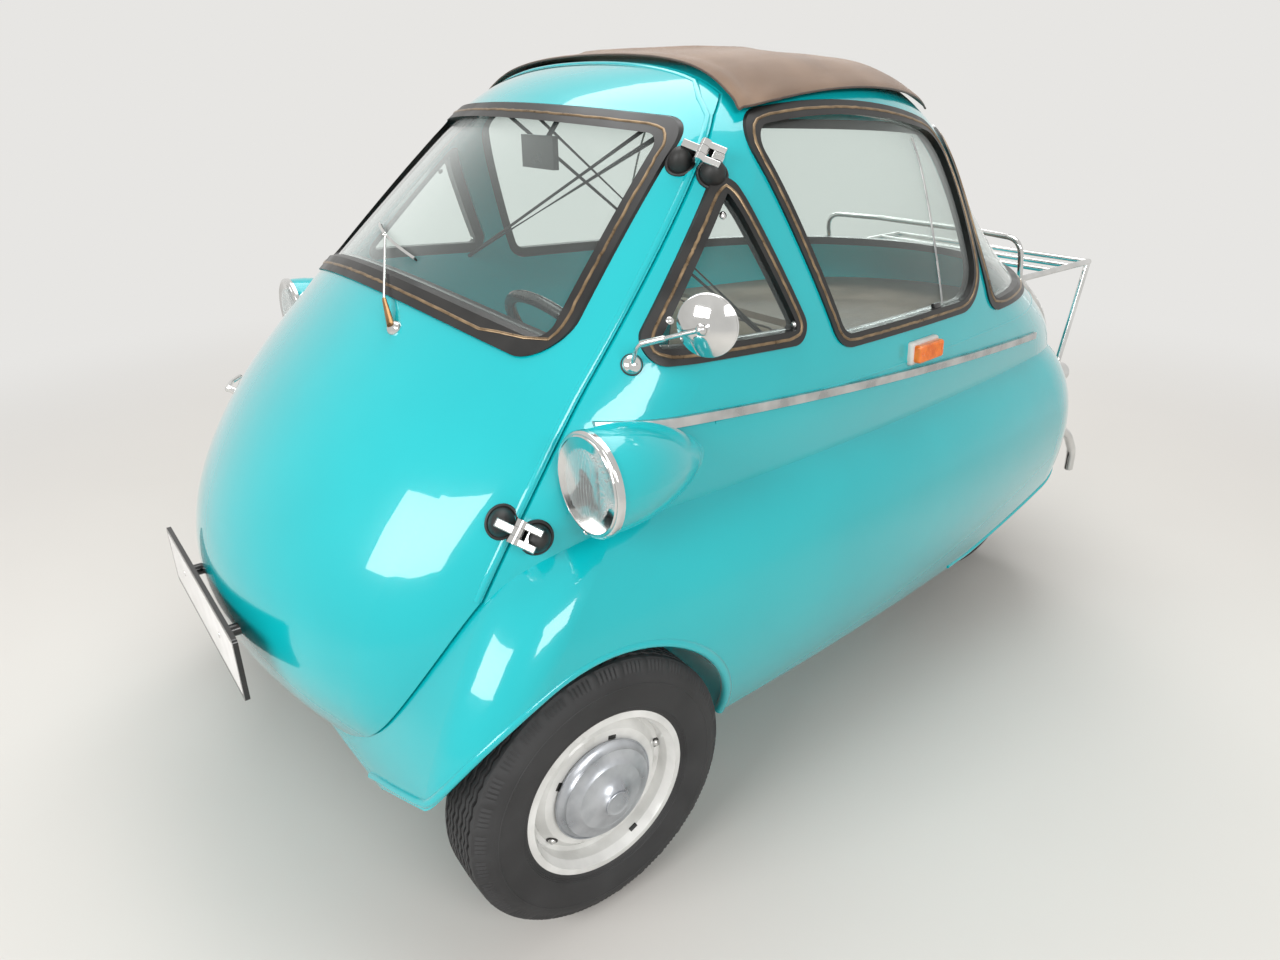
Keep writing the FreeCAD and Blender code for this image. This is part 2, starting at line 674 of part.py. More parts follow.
stand_front = SEAT_FRONT + 25
stand = slab(-stand_half, stand_half, stand_front, bulkhead - fit, floor_top + fit, SEAT_LOW - fit)
stand = stand.cut(slab(-stand_half + STAND_WALL, stand_half - STAND_WALL, stand_front + STAND_WALL, bulkhead,
                       floor_top, SEAT_LOW - STAND_WALL))
keep("seat_stand", solid("SeatStand", stand))

# Dashboard with the steering column's bracket, riding on the door

WHEEL_MIDDLE = Vector(240, -470, 800)
COLUMN = Vector(0, -0.8, -0.6)


def on_column(run):
    return WHEEL_MIDDLE.add(Vector(COLUMN).multiply(run))


ledge_layer = cabin_form(wall + fit, wall).cut(cabin_form(wall + 62, wall + 62))
ledge = ledge_layer.common(slab(-360, 360, -1200, -560, 838, 866))
sleeve = pillar(23, on_column(120), on_column(330))
tie_end = Vector(WHEEL_MIDDLE.x, nose(WHEEL_MIDDLE.x, 850) + wall + 30, 845)
ledge = ledge.fuse([sleeve, pillar(13, on_column(200), tie_end)])
ledge = ledge.cut(pillar(15 + fit, on_column(0), on_column(600)))
keep("dashboard", solid("Dashboard", ledge))
column = pillar(15, on_column(22), on_column(470))
hub = pillar(30, on_column(30), on_column(-12))
rim = Part.makeTorus(size("wheel_rim_radius"), 11, WHEEL_MIDDLE, COLUMN)
steering = rim.fuse([column, hub])
for turn in (-12, 192):
    tip = Vector(math.cos(math.radians(turn)), 0, math.sin(math.radians(turn)))
    across = Vector(tip.x, 0.6 * -tip.z, 0.8 * tip.z)
    steering = steering.fuse(pillar(8, WHEEL_MIDDLE, WHEEL_MIDDLE.add(across.multiply(size("wheel_rim_radius")))))
keep("steering_wheel", solid("SteeringWheel", steering))

# Door fittings

def on_door(x, z, out):
    # A point out from the door's skin, straight ahead of the place given.
    return Vector(x, nose(x, z) - out, z)


wiper_foot = on_door(195, 905, 12)
wiper_joint = on_door(-20, 1026, 16)
blade_ends = [on_door(-120, 1040, 12), on_door(110, 1010, 12)]
wiper = bent_tube(4, [wiper_foot, on_door(165, 950, 18), wiper_joint])
wiper = wiper.fuse([bent_tube(4, [blade_ends[0], wiper_joint, blade_ends[1]]),
                    pillar(13, on_door(195, 905, -6), on_door(195, 905, 14))])
keep("wiper", solid("Wiper", wiper.cut(skin_clear)))

PLATE = Vector(-8, 0, 428)
plate_face = nose(0, 450) - size("plate_stand")
plate_frame = slab(-size("plate_length") / 2, size("plate_length") / 2, plate_face - 8, plate_face,
                   -size("plate_height") / 2, size("plate_height") / 2)
plate_frame = plate_frame.makeFillet(8, [e for e in plate_frame.Edges if abs(e.CenterOfMass.y - plate_face + 4) < 0.1])
plate_frame.translate(Vector(0, 0, PLATE.z))
posts = [pillar(11, Vector(x, plate_face - 1, PLATE.z + 8), Vector(x, plate_face + 160, PLATE.z + 8)).cut(skin_clear)
         for x in (-130, 130)]
posts = [min(post.Solids, key=lambda piece: piece.BoundBox.YMin) for post in posts]
keep("front_plate", solid("FrontPlate", plate_frame.fuse(posts)))

stalk_top = Vector(0, nose(0, 1285) + roof + 22, 1285)
mirror_middle = Vector(0, -405, 1165)
inner_mirror = slab(-58, 58, -6, 6, -30, 30)
inner_mirror.translate(mirror_middle)
inner_mirror = inner_mirror.fuse(bent_tube(5, [mirror_middle, Vector(0, -350, 1235), stalk_top]))
keep("inner_mirror", solid("InnerMirror", inner_mirror.common(cabin_form(wall + fit, roof + fit))))

# Door hinges: two leaves each, on one axis that leans back along the seam

HINGE_HEIGHTS = (699, 1172)
PIN = 3.5
EAR = 9
HINGE_HALF = 18
MOVING_HALF = 6.5
EAR_GAP = 0.5
LEAF_REACH = 34
LEAF_DEPTH = 40
LEAF_TOP = 5
SLOPE_STEP = 6


def seam_at(level):
    # Where the middle of the door's gap lies on the skin, and the skin's direction there.
    seam_line = Part.makeCompound([Part.Arc(*[Vector(0, u, v) for u, v in SEAM[:3]]).toShape(),
                                   Part.LineSegment(*[Vector(0, u, v) for u, v in SEAM[2:4]]).toShape()])
    across = Part.LineSegment(Vector(0, -1400, level), Vector(0, 0, level)).toShape()
    back = seam_line.distToShape(across)[1][0][0].y - gap / 2
    slope_back = (flank(back + SLOPE_STEP, level) - flank(back - SLOPE_STEP, level)) / (2 * SLOPE_STEP)
    slope_up = (flank(back, level + SLOPE_STEP) - flank(back, level - SLOPE_STEP)) / (2 * SLOPE_STEP)
    return Vector(flank(back, level), back, level), Vector(1, -slope_back, -slope_up).normalize()


hinge_seats = [seam_at(level) for level in HINGE_HEIGHTS]
hinge_points = [skin.add(Vector(normal).multiply(size("hinge_stand"))) for skin, normal in hinge_seats]
axis = hinge_points[1].sub(hinge_points[0]).normalize()
print("door axis", hinge_points[0], axis)


def hinge_box(middle, normal, spans, reach_to, start, low, high):
    # Boxes in a hinge's own directions: along the axis, away from it over the skin, and out.
    outward = normal.sub(Vector(axis).multiply(normal.dot(axis))).normalize()
    away = outward.cross(axis).normalize()
    if (away.y > 0) != (reach_to > 0):
        away = Vector(away).multiply(-1)
    frame = FreeCAD.Matrix(axis.x, away.x, outward.x, middle.x, axis.y, away.y, outward.y, middle.y,
                           axis.z, away.z, outward.z, middle.z, 0, 0, 0, 1)
    boxes = []
    for first, last in spans:
        block = Part.makeBox(last - first, abs(reach_to) - start, high - low, Vector(first, start, low))
        block = block.makeFillet(2, [e for e in block.Edges if e.CenterOfMass.z > high - 0.1])
        if axis.cross(away).dot(outward) > 0:
            block.Placement = Placement(frame)
        else:
            block = block.mirror(Vector(0, 0, 0), Vector(1, 0, 0))
            block.translate(Vector(first + last, 0, 0))
            block = block.transformGeometry(frame)
        boxes.append(block)
    return boxes


def ear(middle, first, last):
    return pillar(EAR, middle.add(Vector(axis).multiply(first)), middle.add(Vector(axis).multiply(last)))


fixed_leaves = []
door_leaves = []
fixed_spans = ((-HINGE_HALF, -MOVING_HALF - EAR_GAP), (MOVING_HALF + EAR_GAP, HINGE_HALF))
moving_spans = ((-MOVING_HALF, MOVING_HALF),)
for middle, (skin, normal) in zip(hinge_points, hinge_seats):
    reach_pin = Vector(axis).multiply(HINGE_HALF)
    pin = pillar(PIN, middle.sub(reach_pin), middle.add(reach_pin))
    bore = pillar(PIN + size("pin_fit"), middle.sub(reach_pin).sub(reach_pin), middle.add(reach_pin).add(reach_pin))
    fixed = [pin] + [ear(middle, *span) for span in fixed_spans]
    fixed += hinge_box(middle, normal, fixed_spans, LEAF_REACH, 0, -LEAF_DEPTH, LEAF_TOP)
    fixed += hinge_box(middle, normal, ((-HINGE_HALF, HINGE_HALF),), LEAF_REACH, EAR + 5, -LEAF_DEPTH, -size("hinge_stand") / 4)
    fixed_leaves.append(biggest(fixed[0].fuse(fixed[1:]).cut(skin_clear)))
    moving = [ear(middle, *span) for span in moving_spans]
    moving += hinge_box(middle, normal, moving_spans, -LEAF_REACH, 0, -LEAF_DEPTH, LEAF_TOP)
    door_leaves.append(biggest(moving[0].fuse(moving[1:]).cut(bore).cut(skin_clear)))
keep("hinge_arms", solid("HingeArms", Part.makeCompound(door_leaves)))

# Engine lid

lid_layer = pontoon.Shape.cut(pontoon_form(12, 12))
lid = lid_layer.common(through_right(ENGINE_LID, gap))
LOUVRES = 5
for number in range(LOUVRES):
    level = 420 + 24 * number
    lid = lid.cut(slab(-900, 0, 480, 640, level, level + 7))
lid_top = ENGINE_LID[2][1]
lid_start, lid_end = ENGINE_LID[3][0] + 60, ENGINE_LID[2][0] - 60
lid_axis_points = [Vector(-flank(y, lid_top, pontoon.Shape) - 9, y, lid_top) for y in (lid_start, lid_end)]
lid_axis = lid_axis_points[1].sub(lid_axis_points[0]).normalize()
print("lid axis", lid_axis_points[0], lid_axis)
lid_eyes = []
lid_pins = []
for place in lid_axis_points:
    eye = pillar(6, place.sub(Vector(lid_axis).multiply(8)), place.add(Vector(lid_axis).multiply(8)))
    arm = slab(place.x - 3, place.x + 14, place.y - 8, place.y + 8, place.z - 26, place.z)
    eye = eye.fuse(arm).cut(pillar(2.5 + size("pin_fit"), place.sub(Vector(lid_axis).multiply(20)), place.add(Vector(lid_axis).multiply(20))))
    lid_eyes.append(eye)
    pin = pillar(2.5, place.sub(Vector(lid_axis).multiply(17)), place.add(Vector(lid_axis).multiply(17)))
    ears = []
    for side in (-1, 1):
        near = place.add(Vector(lid_axis).multiply(side * 9))
        far = place.add(Vector(lid_axis).multiply(side * 17))
        ears.append(pillar(6, near, far))
        ears.append(slab(place.x - 3, place.x + 40, min(near.y, far.y), max(near.y, far.y), place.z, place.z + 26))
    lid_pins.append(pin.fuse(ears).cut(pontoon_clear).cut(skin_clear))
lid_pins = [biggest(piece) for piece in lid_pins]
keep("engine_lid", solid("EngineLid", lid.fuse(lid_eyes)))
keep("hinge_brackets", solid("HingeBrackets", Part.makeCompound(fixed_leaves + lid_pins)))

# Chassis, engine and rear axle

rail = size("rail_radius")
rail_x = size("rail_offset")
rail_z = size("floor_low") - rail - fit
tube_z = 196
kingpin_x = front_half - size("kingpin_inset")
sleeve_half = size("sleeve_length") / 2
chassis = []
for side in (-1, 1):
    chassis.append(pillar(rail, Vector(side * rail_x, -900, rail_z), Vector(side * rail_x, 560, rail_z)))
chassis.append(pillar(22, Vector(-498, front_axle, tube_z), Vector(498, front_axle, tube_z)))
chassis.append(pillar(rail * 0.8, Vector(-rail_x, -860, rail_z), Vector(rail_x, -860, rail_z)))
REAR_CROSS = 485
chassis.append(pillar(rail * 0.8, Vector(-330, REAR_CROSS, rail_z), Vector(rail_x, REAR_CROSS, rail_z)))
ENGINE = (-400, -90, 362, 526, 290, 640)
for x in (-320, -rail_x):
    chassis.append(pillar(13, Vector(x, REAR_CROSS, rail_z), Vector(x, REAR_CROSS, ENGINE[4] - fit)))
for side in (-1, 1):
    x = side * kingpin_x
    plate = slab(min(x, side * 470), max(x, side * 470), front_axle - 13, front_axle + 13, 204, 270)
    chassis.append(plate)
    chassis.append(pillar(size("sleeve_radius"), Vector(x, front_axle, tyre - sleeve_half), Vector(x, front_axle, tyre + sleeve_half)))
frame_shape = chassis[0].fuse(chassis[1:])
for side in (-1, 1):
    x = side * kingpin_x
    frame_shape = frame_shape.cut(pillar(size("kingpin_radius") + size("pin_fit"), Vector(x, front_axle, 100), Vector(x, front_axle, 400)))
keep("chassis_frame", solid("ChassisFrame", frame_shape))
engine = doc.addObject("Part::Box", "EngineBlock")
bind(engine, Length=str(ENGINE[1] - ENGINE[0]), Width=str(ENGINE[3] - ENGINE[2]), Height=str(ENGINE[5] - ENGINE[4]))
engine.Placement = Placement(Vector(ENGINE[0], ENGINE[2], ENGINE[4]), Rotation())
keep("engine_block", engine)
axle_r = size("axle_radius")
case = slab(-28, 28, 470, rear_axle, 228, 340).fuse(pillar(52, Vector(-28, rear_axle, tyre), Vector(28, rear_axle, tyre)))
case = case.fuse(slab(ENGINE[1] + fit, 28, 470, ENGINE[3], 292, 340))
case = case.cut(pillar(axle_r + size("pin_fit"), Vector(-200, rear_axle, tyre), Vector(200, rear_axle, tyre)))
keep("chain_case", solid("ChainCase", case))
springs = []
for side in (-1, 1):
    x = side * 120
    leafs = slab(x - 20, x + 20, REAR_CROSS - 50, rear_axle, 233, 241)
    eye = pillar(25, Vector(x - 20, rear_axle, tyre), Vector(x + 20, rear_axle, tyre))
    leafs = leafs.fuse([eye, slab(x - 22, x + 22, REAR_CROSS - 50, REAR_CROSS + 40, rail_z + rail * 0.8 - 4, 233)])
    leafs = leafs.cut(pillar(rail * 0.8 + fit, Vector(-400, REAR_CROSS, rail_z), Vector(400, REAR_CROSS, rail_z)))
    leafs = leafs.cut(pillar(rail + fit, Vector(side * rail_x, 0, rail_z), Vector(side * rail_x, 800, rail_z)))
    leafs = leafs.cut(pillar(axle_r + size("pin_fit"), Vector(x - 40, rear_axle, tyre), Vector(x + 40, rear_axle, tyre)))
    springs.append(biggest(leafs))
keep("rear_springs", solid("RearSprings", Part.makeCompound(springs)))
silencer = pillar(46, Vector(-150, 905, 400), Vector(150, 905, 400))
pipe = bent_tube(16, [Vector(-140, ENGINE[3] + 16 + fit, 400), Vector(-120, 860, 400)])
tail_pipe = bent_tube(14, [Vector(120, 905, 400), Vector(170, 960, 340), Vector(175, 1085, 318)])
keep("exhaust", solid("Exhaust", silencer.fuse([pipe, tail_pipe])))

# Wheels: revolved about their own axle

bead = size("bead_radius")
bead_half = size("bead_half_width")
half_width = size("tyre_half_width")


def turned(points, closed=True):
    # A profile of (across, radius, bulge) turned about the X axis.
    edges = []
    count = len(points)
    for number, (u, v, bulge) in enumerate(points):
        u2, v2 = points[(number + 1) % count][:2]
        if bulge:
            run = math.hypot(u2 - u, v2 - v)
            middle = ((u + u2) / 2 + bulge * (v2 - v) / run, (v + v2) / 2 - bulge * (u2 - u) / run)
            edges.append(Part.Arc(Vector(u, v, 0), Vector(middle[0], middle[1], 0), Vector(u2, v2, 0)).toShape())
        else:
            edges.append(Part.LineSegment(Vector(u, v, 0), Vector(u2, v2, 0)).toShape())
    return Part.Face(Part.Wire(edges)).revolve(Vector(0, 0, 0), Vector(1, 0, 0), 360)


shoulder = half_width - 14
TYRE = (
    (-bead_half, bead + fit, 0), (bead_half, bead + fit, 0), (bead_half + 6, bead + 10, 0), (bead_half + 10, bead + 16, 3.5),
    (half_width, 192, 3), (shoulder, tyre - 6, 3), (shoulder - 10, tyre, 0), (-shoulder + 10, tyre, 3), (-shoulder, tyre - 6, 3),
    (-half_width, 192, 3.5), (-bead_half - 10, bead + 16, 0), (-bead_half - 6, bead + 10, 0))
cap = size("cap_radius")
bore = size("hub_bore")
RIM = (
    (-bead_half - 6, bead + 9, 0), (-bead_half - 8, bead - 6, 0), (-bead_half + 6, 126, 0), (-6, 116, 0), (10, 112, 0),
    (24, 100, 0), (28, 60, 0), (28, bore, 0), (36, bore, 0), (36, 62, 0), (32, 106, 0), (18, 120, 0), (20, 128, 0),
    (bead_half - 6, 130, 0), (bead_half + 4, bead - 6, 0), (bead_half + 8, bead - 4, 0), (bead_half + 6, bead + 9, 0),
    (bead_half, bead, 0), (-bead_half, bead, 0))
CAP = (
    (36 + fit, 0, 0), (36 + fit, 50, 0), (38, cap - 8, 0), (36, cap - 2, 0), (40, cap, 2), (52, cap - 12, 2), (60, 58, 0), (62, 44, 4),
    (80, 20, 0), (81, 0, 0))


def placed(shape, x, y, side=1):
    moved = shape.copy() if side > 0 else shape.mirror(Vector(0, 0, 0), Vector(1, 0, 0))
    moved.translate(Vector(x, y, tyre))
    return moved


tyre_shape = turned(TYRE)
rim_shape = turned(RIM)
cap_shape = turned(CAP)
kp_r = size("kingpin_radius")
lug_gap = size("lug_gap")
for hand, side in (("left", 1), ("right", -1)):
    x = side * front_half
    keep("front_tyre_" + hand, solid("FrontTyre" + hand, placed(tyre_shape, x, front_axle, side)))
    keep("front_rim_" + hand, solid("FrontRim" + hand, placed(rim_shape, x, front_axle, side)))
    keep("hub_cap_" + hand, solid("HubCap" + hand, placed(cap_shape, x, front_axle, side)))
    lug_low = -sleeve_half - lug_gap
    knuckle = pillar(kp_r, Vector(0, 0, lug_low - 14), Vector(0, 0, -lug_low + 14))
    parts = [pillar(19, Vector(0, 0, lug_low - 16), Vector(0, 0, lug_low)),
             pillar(19, Vector(0, 0, -lug_low), Vector(0, 0, -lug_low + 16)),
             slab(0, 44, -16, 16, lug_low - 16, lug_low), slab(0, 44, -16, 16, -lug_low, -lug_low + 16),
             slab(30, 44, -18, 18, lug_low - 16, -lug_low + 16),
             pillar(74, Vector(44, 0, 0), Vector(50, 0, 0)),
             pillar(size("hub_bore") - size("pin_fit"), Vector(44, 0, 0), Vector(size("kingpin_inset") + 34, 0, 0)),
             slab(-12, 4, 0, 100, lug_low - 16, lug_low - 6)]
    knuckle = knuckle.fuse(parts)
    keep("knuckle_" + hand, solid("Knuckle" + hand, placed(knuckle, side * kingpin_x, front_axle, side)))
rear_tyres = placed(tyre_shape, rear_half, rear_axle).fuse(placed(tyre_shape, -rear_half, rear_axle, -1))
keep("rear_tyres", solid("RearTyres", rear_tyres))
rear_rim = turned([point if point[1] != bore else (point[0], axle_r + size("pin_fit"), 0) for point in RIM])
AXLE_END = 50
keep("rear_axle", solid("RearAxle", pillar(axle_r, Vector(-rear_half - AXLE_END, rear_axle, tyre),
                                           Vector(rear_half + AXLE_END, rear_axle, tyre))))
keep("rear_rims", solid("RearRims", placed(rear_rim, rear_half, rear_axle).fuse(placed(rear_rim, -rear_half, rear_axle, -1))))

doc.recompute()
bad = [thing.Name for thing in doc.Objects if {"Invalid", "Error"} & set(thing.State)]
for thing in nodes:
    box = thing.Shape.BoundBox
    print(thing.Label, thing.Shape.isValid(), len(thing.Shape.Solids), round(thing.Shape.Volume / 1e6, 3),
          [round(v) for v in (box.XMin, box.XMax, box.YMin, box.YMax, box.ZMin, box.ZMax)])
    if thing.Shape.isNull() or not thing.Shape.isValid() or not thing.Shape.Solids:
        bad.append(thing.Label)
if bad:
    raise RuntimeError("not sound: " + ", ".join(bad))
os.makedirs("parts", exist_ok=True)
for thing in nodes:
    thing.Shape.exportStep("parts/" + thing.Label + ".step")
print(len(nodes), "nodes written")
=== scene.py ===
import json
import math

import bmesh
import bpy
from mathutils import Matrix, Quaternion, Vector
from mathutils.bvhtree import BVHTree


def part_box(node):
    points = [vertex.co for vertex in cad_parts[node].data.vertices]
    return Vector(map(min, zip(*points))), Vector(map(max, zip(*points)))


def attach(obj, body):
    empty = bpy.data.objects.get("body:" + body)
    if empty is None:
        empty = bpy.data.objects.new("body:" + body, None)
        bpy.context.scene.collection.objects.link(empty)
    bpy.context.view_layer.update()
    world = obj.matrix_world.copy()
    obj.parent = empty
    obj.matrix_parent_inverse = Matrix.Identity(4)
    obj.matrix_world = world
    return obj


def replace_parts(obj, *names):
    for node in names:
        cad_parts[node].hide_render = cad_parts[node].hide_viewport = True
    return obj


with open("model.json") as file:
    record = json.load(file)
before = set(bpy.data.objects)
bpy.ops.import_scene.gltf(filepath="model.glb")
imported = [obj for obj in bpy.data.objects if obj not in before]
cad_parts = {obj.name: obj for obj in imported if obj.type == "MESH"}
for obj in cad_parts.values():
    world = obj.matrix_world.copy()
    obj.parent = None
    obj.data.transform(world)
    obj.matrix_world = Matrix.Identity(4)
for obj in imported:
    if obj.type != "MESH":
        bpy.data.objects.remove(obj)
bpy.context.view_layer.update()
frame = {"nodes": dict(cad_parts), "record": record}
NODES = frame["nodes"]

# Driving sizes in metres, in the car's frame: +X its left side, +Y its tail, +Z up

FRONT_AXLE = -0.725
REAR_AXLE = 0.775
TYRE_RADIUS = 0.24
FRONT_HALF_TRACK = 0.604
REAR_HALF_TRACK = 0.26
LAMP_RADIUS = 0.068
PLATE_SIZE = (0.50, 0.118)

# Camera, fitted to the photograph's own vanishing lines

CAMERA_PLACE = Vector((1.566, -1.338, 1.280))
CAMERA_YAW = math.radians(-53.23)
CAMERA_PITCH = math.radians(-24.01)
CAMERA_ROLL = math.radians(-0.27)
PHOTO_WIDTH = 1280
PHOTO_HEIGHT = 960
FOCAL_PIXELS = 884.7
SENSOR = 36.0


def make_camera():
    data = bpy.data.cameras.new("camera")
    data.sensor_width = SENSOR
    data.lens = FOCAL_PIXELS / PHOTO_WIDTH * SENSOR
    data.clip_start = 0.02
    camera = bpy.data.objects.new("camera", data)
    ahead = Vector((math.sin(CAMERA_YAW) * math.cos(CAMERA_PITCH),
                    math.cos(CAMERA_YAW) * math.cos(CAMERA_PITCH),
                    math.sin(CAMERA_PITCH)))
    camera.rotation_mode = "QUATERNION"
    camera.rotation_quaternion = ahead.to_track_quat("-Z", "Y") @ Quaternion((0, 0, 1), CAMERA_ROLL)
    camera.location = CAMERA_PLACE
    bpy.context.scene.collection.objects.link(camera)
    bpy.context.scene.camera = camera


# Materials


def fill(tree, node, values):
    # Gives a node's inputs a fixed value or another node's output.
    for key, value in values.items():
        if isinstance(value, bpy.types.NodeSocket):
            tree.links.new(value, node.inputs[key])
        else:
            node.inputs[key].default_value = value


def new_node(tree, kind, values, **settings):
    node = tree.nodes.new("ShaderNode" + kind)
    for key, value in settings.items():
        setattr(node, key, value)
    fill(tree, node, values)
    return node


def new_material(name):
    material = bpy.data.materials.new(name)
    material.use_nodes = True
    tree = material.node_tree
    tree.nodes.clear()
    shader = new_node(tree, "BsdfPrincipled", {})
    new_node(tree, "OutputMaterial", {"Surface": shader.outputs[0]})
    return material, tree, shader


def mixed_output(tree, share, first, second):
    # Sends a mixture of two shaders to the output of a material or world.
    mix = new_node(tree, "MixShader", {0: share, 1: first.outputs[0], 2: second.outputs[0]})
    out = next(node for node in tree.nodes if node.type in ("OUTPUT_MATERIAL", "OUTPUT_WORLD"))
    fill(tree, out, {"Surface": mix.outputs[0]})


def noise(tree, scale, detail=3.0):
    place = new_node(tree, "TexCoord", {})
    texture = new_node(tree, "TexNoise", {"Vector": place.outputs["Object"], "Scale": scale,
                                          "Detail": detail})
    return texture.outputs["Fac"]


def blend_colours(tree, factor, low, high, start=0.35, end=0.65):
    ramp = new_node(tree, "ValToRGB", {"Fac": factor})
    for element, position, colour in zip(ramp.color_ramp.elements, (start, end), (low, high)):
        element.position = position
        element.color = (*colour, 1)
    return ramp.outputs["Color"]


def spread(tree, factor, low, high):
    span = {"Value": factor, "From Min": 0.3, "From Max": 0.7, "To Min": low, "To Max": high}
    return new_node(tree, "MapRange", span).outputs["Result"]


def bump(tree, height, strength, distance):
    node = new_node(tree, "Bump", {"Height": height, "Strength": strength, "Distance": distance})
    return node.outputs["Normal"]


def surface(name, low, high, rough, metal=0.0, coat=0.0, scale=6.0, grain=(400, 0.02, 0.0002),
            specular=0.5):
    # A finish with a drift of colour and roughness over the surface and a fine grain.
    material, tree, shader = new_material(name)
    drift = noise(tree, scale)
    grain_scale, strength, distance = grain
    fill(tree, shader, {
        "Base Color": blend_colours(tree, drift, low, high), "Roughness": spread(tree, drift, *rough),
        "Metallic": metal, "Specular IOR Level": specular, "Coat Weight": coat, "Coat Roughness": 0.03,
        "Normal": bump(tree, noise(tree, grain_scale, 2.0), strength, distance)})
    return material


def clear(name, tint, rough=0.0, dust=0.0):
    # Thin glazing: mostly see-through, with the reflections of a glass sheet.
    material, tree, shine = new_material(name)
    fill(tree, shine, {"Base Color": (*tint, 1), "Roughness": rough, "IOR": 1.45,
                       "Transmission Weight": 0.0})
    through = new_node(tree, "BsdfTransparent", {"Color": (*tint, 1)})
    facing = new_node(tree, "LayerWeight", {"Blend": 0.5})
    steep = new_node(tree, "Math", {0: facing.outputs["Facing"], 1: 5.0}, operation="POWER")
    lift = new_node(tree, "Math", {0: steep.outputs[0], 1: 0.95 - dust, 2: 0.04 + dust},
                    operation="MULTIPLY_ADD")
    mixed_output(tree, lift.outputs[0], through, shine)
    return material


def weave(name, low, high, rough, scale, strength):
    # Woven cloth: two crossed wave patterns over a drift of colour.
    material, tree, shader = new_material(name)
    place = new_node(tree, "TexCoord", {}).outputs["Object"]
    waves = [new_node(tree, "TexWave", {"Scale": scale, "Distortion": 0.6, "Vector": place},
                      bands_direction=direction).outputs["Fac"] for direction in ("X", "Y")]
    crossed = new_node(tree, "Math", {0: waves[0], 1: waves[1]}, operation="MULTIPLY").outputs[0]
    mixed = new_node(tree, "Math", {0: crossed, 1: 0.3, 2: noise(tree, 9.0)}, operation="MULTIPLY_ADD")
    fill(tree, shader, {
        "Base Color": blend_colours(tree, mixed.outputs[0], low, high, 0.35, 0.85), "Roughness": rough,
        "Sheen Weight": 0.25, "Sheen Roughness": 0.5, "Normal": bump(tree, crossed, strength, 0.0006)})
    return material


def lens_plastic(name, colour, deep):
    # Coloured lamp plastic: glossy and lit a little from within.
    material, tree, shader = new_material(name)
    fill(tree, shader, {
        "Base Color": blend_colours(tree, noise(tree, 60.0), deep, colour), "Roughness": 0.12,
        "Subsurface Weight": 0.3, "Subsurface Radius": (0.01, 0.004, 0.001), "Coat Weight": 0.6,
        "Normal": bump(tree, noise(tree, 300.0), 0.05, 0.0003)})
    return material


# Each finish: darker and lighter colour, range of roughness, then metal, coat, scale of the drift,
# grain as (scale, strength, distance) and specular level, as far as they differ from the usual.
FINISHES = {
    "body_paint": ((0.002, 0.42, 0.46), (0.004, 0.46, 0.50), (0.16, 0.24),
                   0, 1.0, 2.5, (260, 0.015, 0.0004), 0.2),
    "rubber": ((0.008, 0.008, 0.008), (0.016, 0.015, 0.014), (0.28, 0.42), 0, 0, 14, (500, 0.10, 0.0003)),
    "trim_metal": ((0.42, 0.43, 0.43), (0.62, 0.62, 0.61), (0.22, 0.4), 1.0, 0, 20, (220, 0.08, 0.0003)),
    "chrome": ((0.60, 0.60, 0.59), (0.78, 0.78, 0.77), (0.05, 0.14), 1.0, 0, 12, (300, 0.02, 0.0002)),
    "grey_plastic": ((0.50, 0.49, 0.46), (0.62, 0.61, 0.58), (0.35, 0.5), 0, 0, 30),
    "black_metal": ((0.012, 0.012, 0.012), (0.03, 0.028, 0.026), (0.4, 0.6), 0, 0, 10, (240, 0.15, 0.0004)),
    "engine_metal": ((0.16, 0.16, 0.155), (0.28, 0.275, 0.265), (0.45, 0.65),
                     0.7, 0, 14, (160, 0.25, 0.0006)),
    "dash_paint": ((0.17, 0.13, 0.10), (0.24, 0.19, 0.15), (0.5, 0.65), 0, 0, 12, (320, 0.12, 0.0004)),
    "black_plastic": ((0.010, 0.010, 0.010), (0.02, 0.02, 0.02), (0.18, 0.3), 0, 0.3, 18),
    "tyre": ((0.016, 0.016, 0.017), (0.034, 0.034, 0.035), (0.55, 0.75), 0, 0, 9, (420, 0.25, 0.0005)),
    "wheel_paint": ((0.62, 0.62, 0.60), (0.78, 0.78, 0.76), (0.25, 0.4), 0, 0.4, 16, (200, 0.05, 0.0004)),
    "hub_metal": ((0.40, 0.42, 0.45), (0.56, 0.58, 0.61), (0.26, 0.42), 0.9, 0, 22, (180, 0.08, 0.0003)),
    "filler_strip": ((0.15, 0.10, 0.055), (0.30, 0.21, 0.12), (0.25, 0.4), 0.6, 0, 40),
    "bronze": ((0.22, 0.12, 0.05), (0.38, 0.22, 0.10), (0.25, 0.4), 1.0, 0, 50),
    "mirror_glass": ((0.80, 0.81, 0.81), (0.84, 0.85, 0.85), (0.01, 0.03), 1.0, 0, 5, (30, 0.0, 0.0001)),
    "reflector": ((0.72, 0.73, 0.74), (0.88, 0.89, 0.90), (0.04, 0.12), 1.0, 0, 40, (90, 0.05, 0.0004)),
    "bulb": ((0.86, 0.84, 0.78), (0.95, 0.94, 0.90), (0.1, 0.2), 0, 0.8, 80),
    "plate_white": ((0.72, 0.71, 0.70), (0.82, 0.81, 0.80), (0.3, 0.5), 0, 0.3, 24, (160, 0.06, 0.0004)),
    "piping": ((0.05, 0.035, 0.025), (0.085, 0.06, 0.045), (0.45, 0.6), 0, 0, 40),
    "soft_rubber": ((0.007, 0.007, 0.007), (0.016, 0.016, 0.015), (0.4, 0.6),
                    0, 0, 30, (380, 0.12, 0.0004)),
}
MATERIALS = {name: surface(name, *finish) for name, finish in FINISHES.items()}
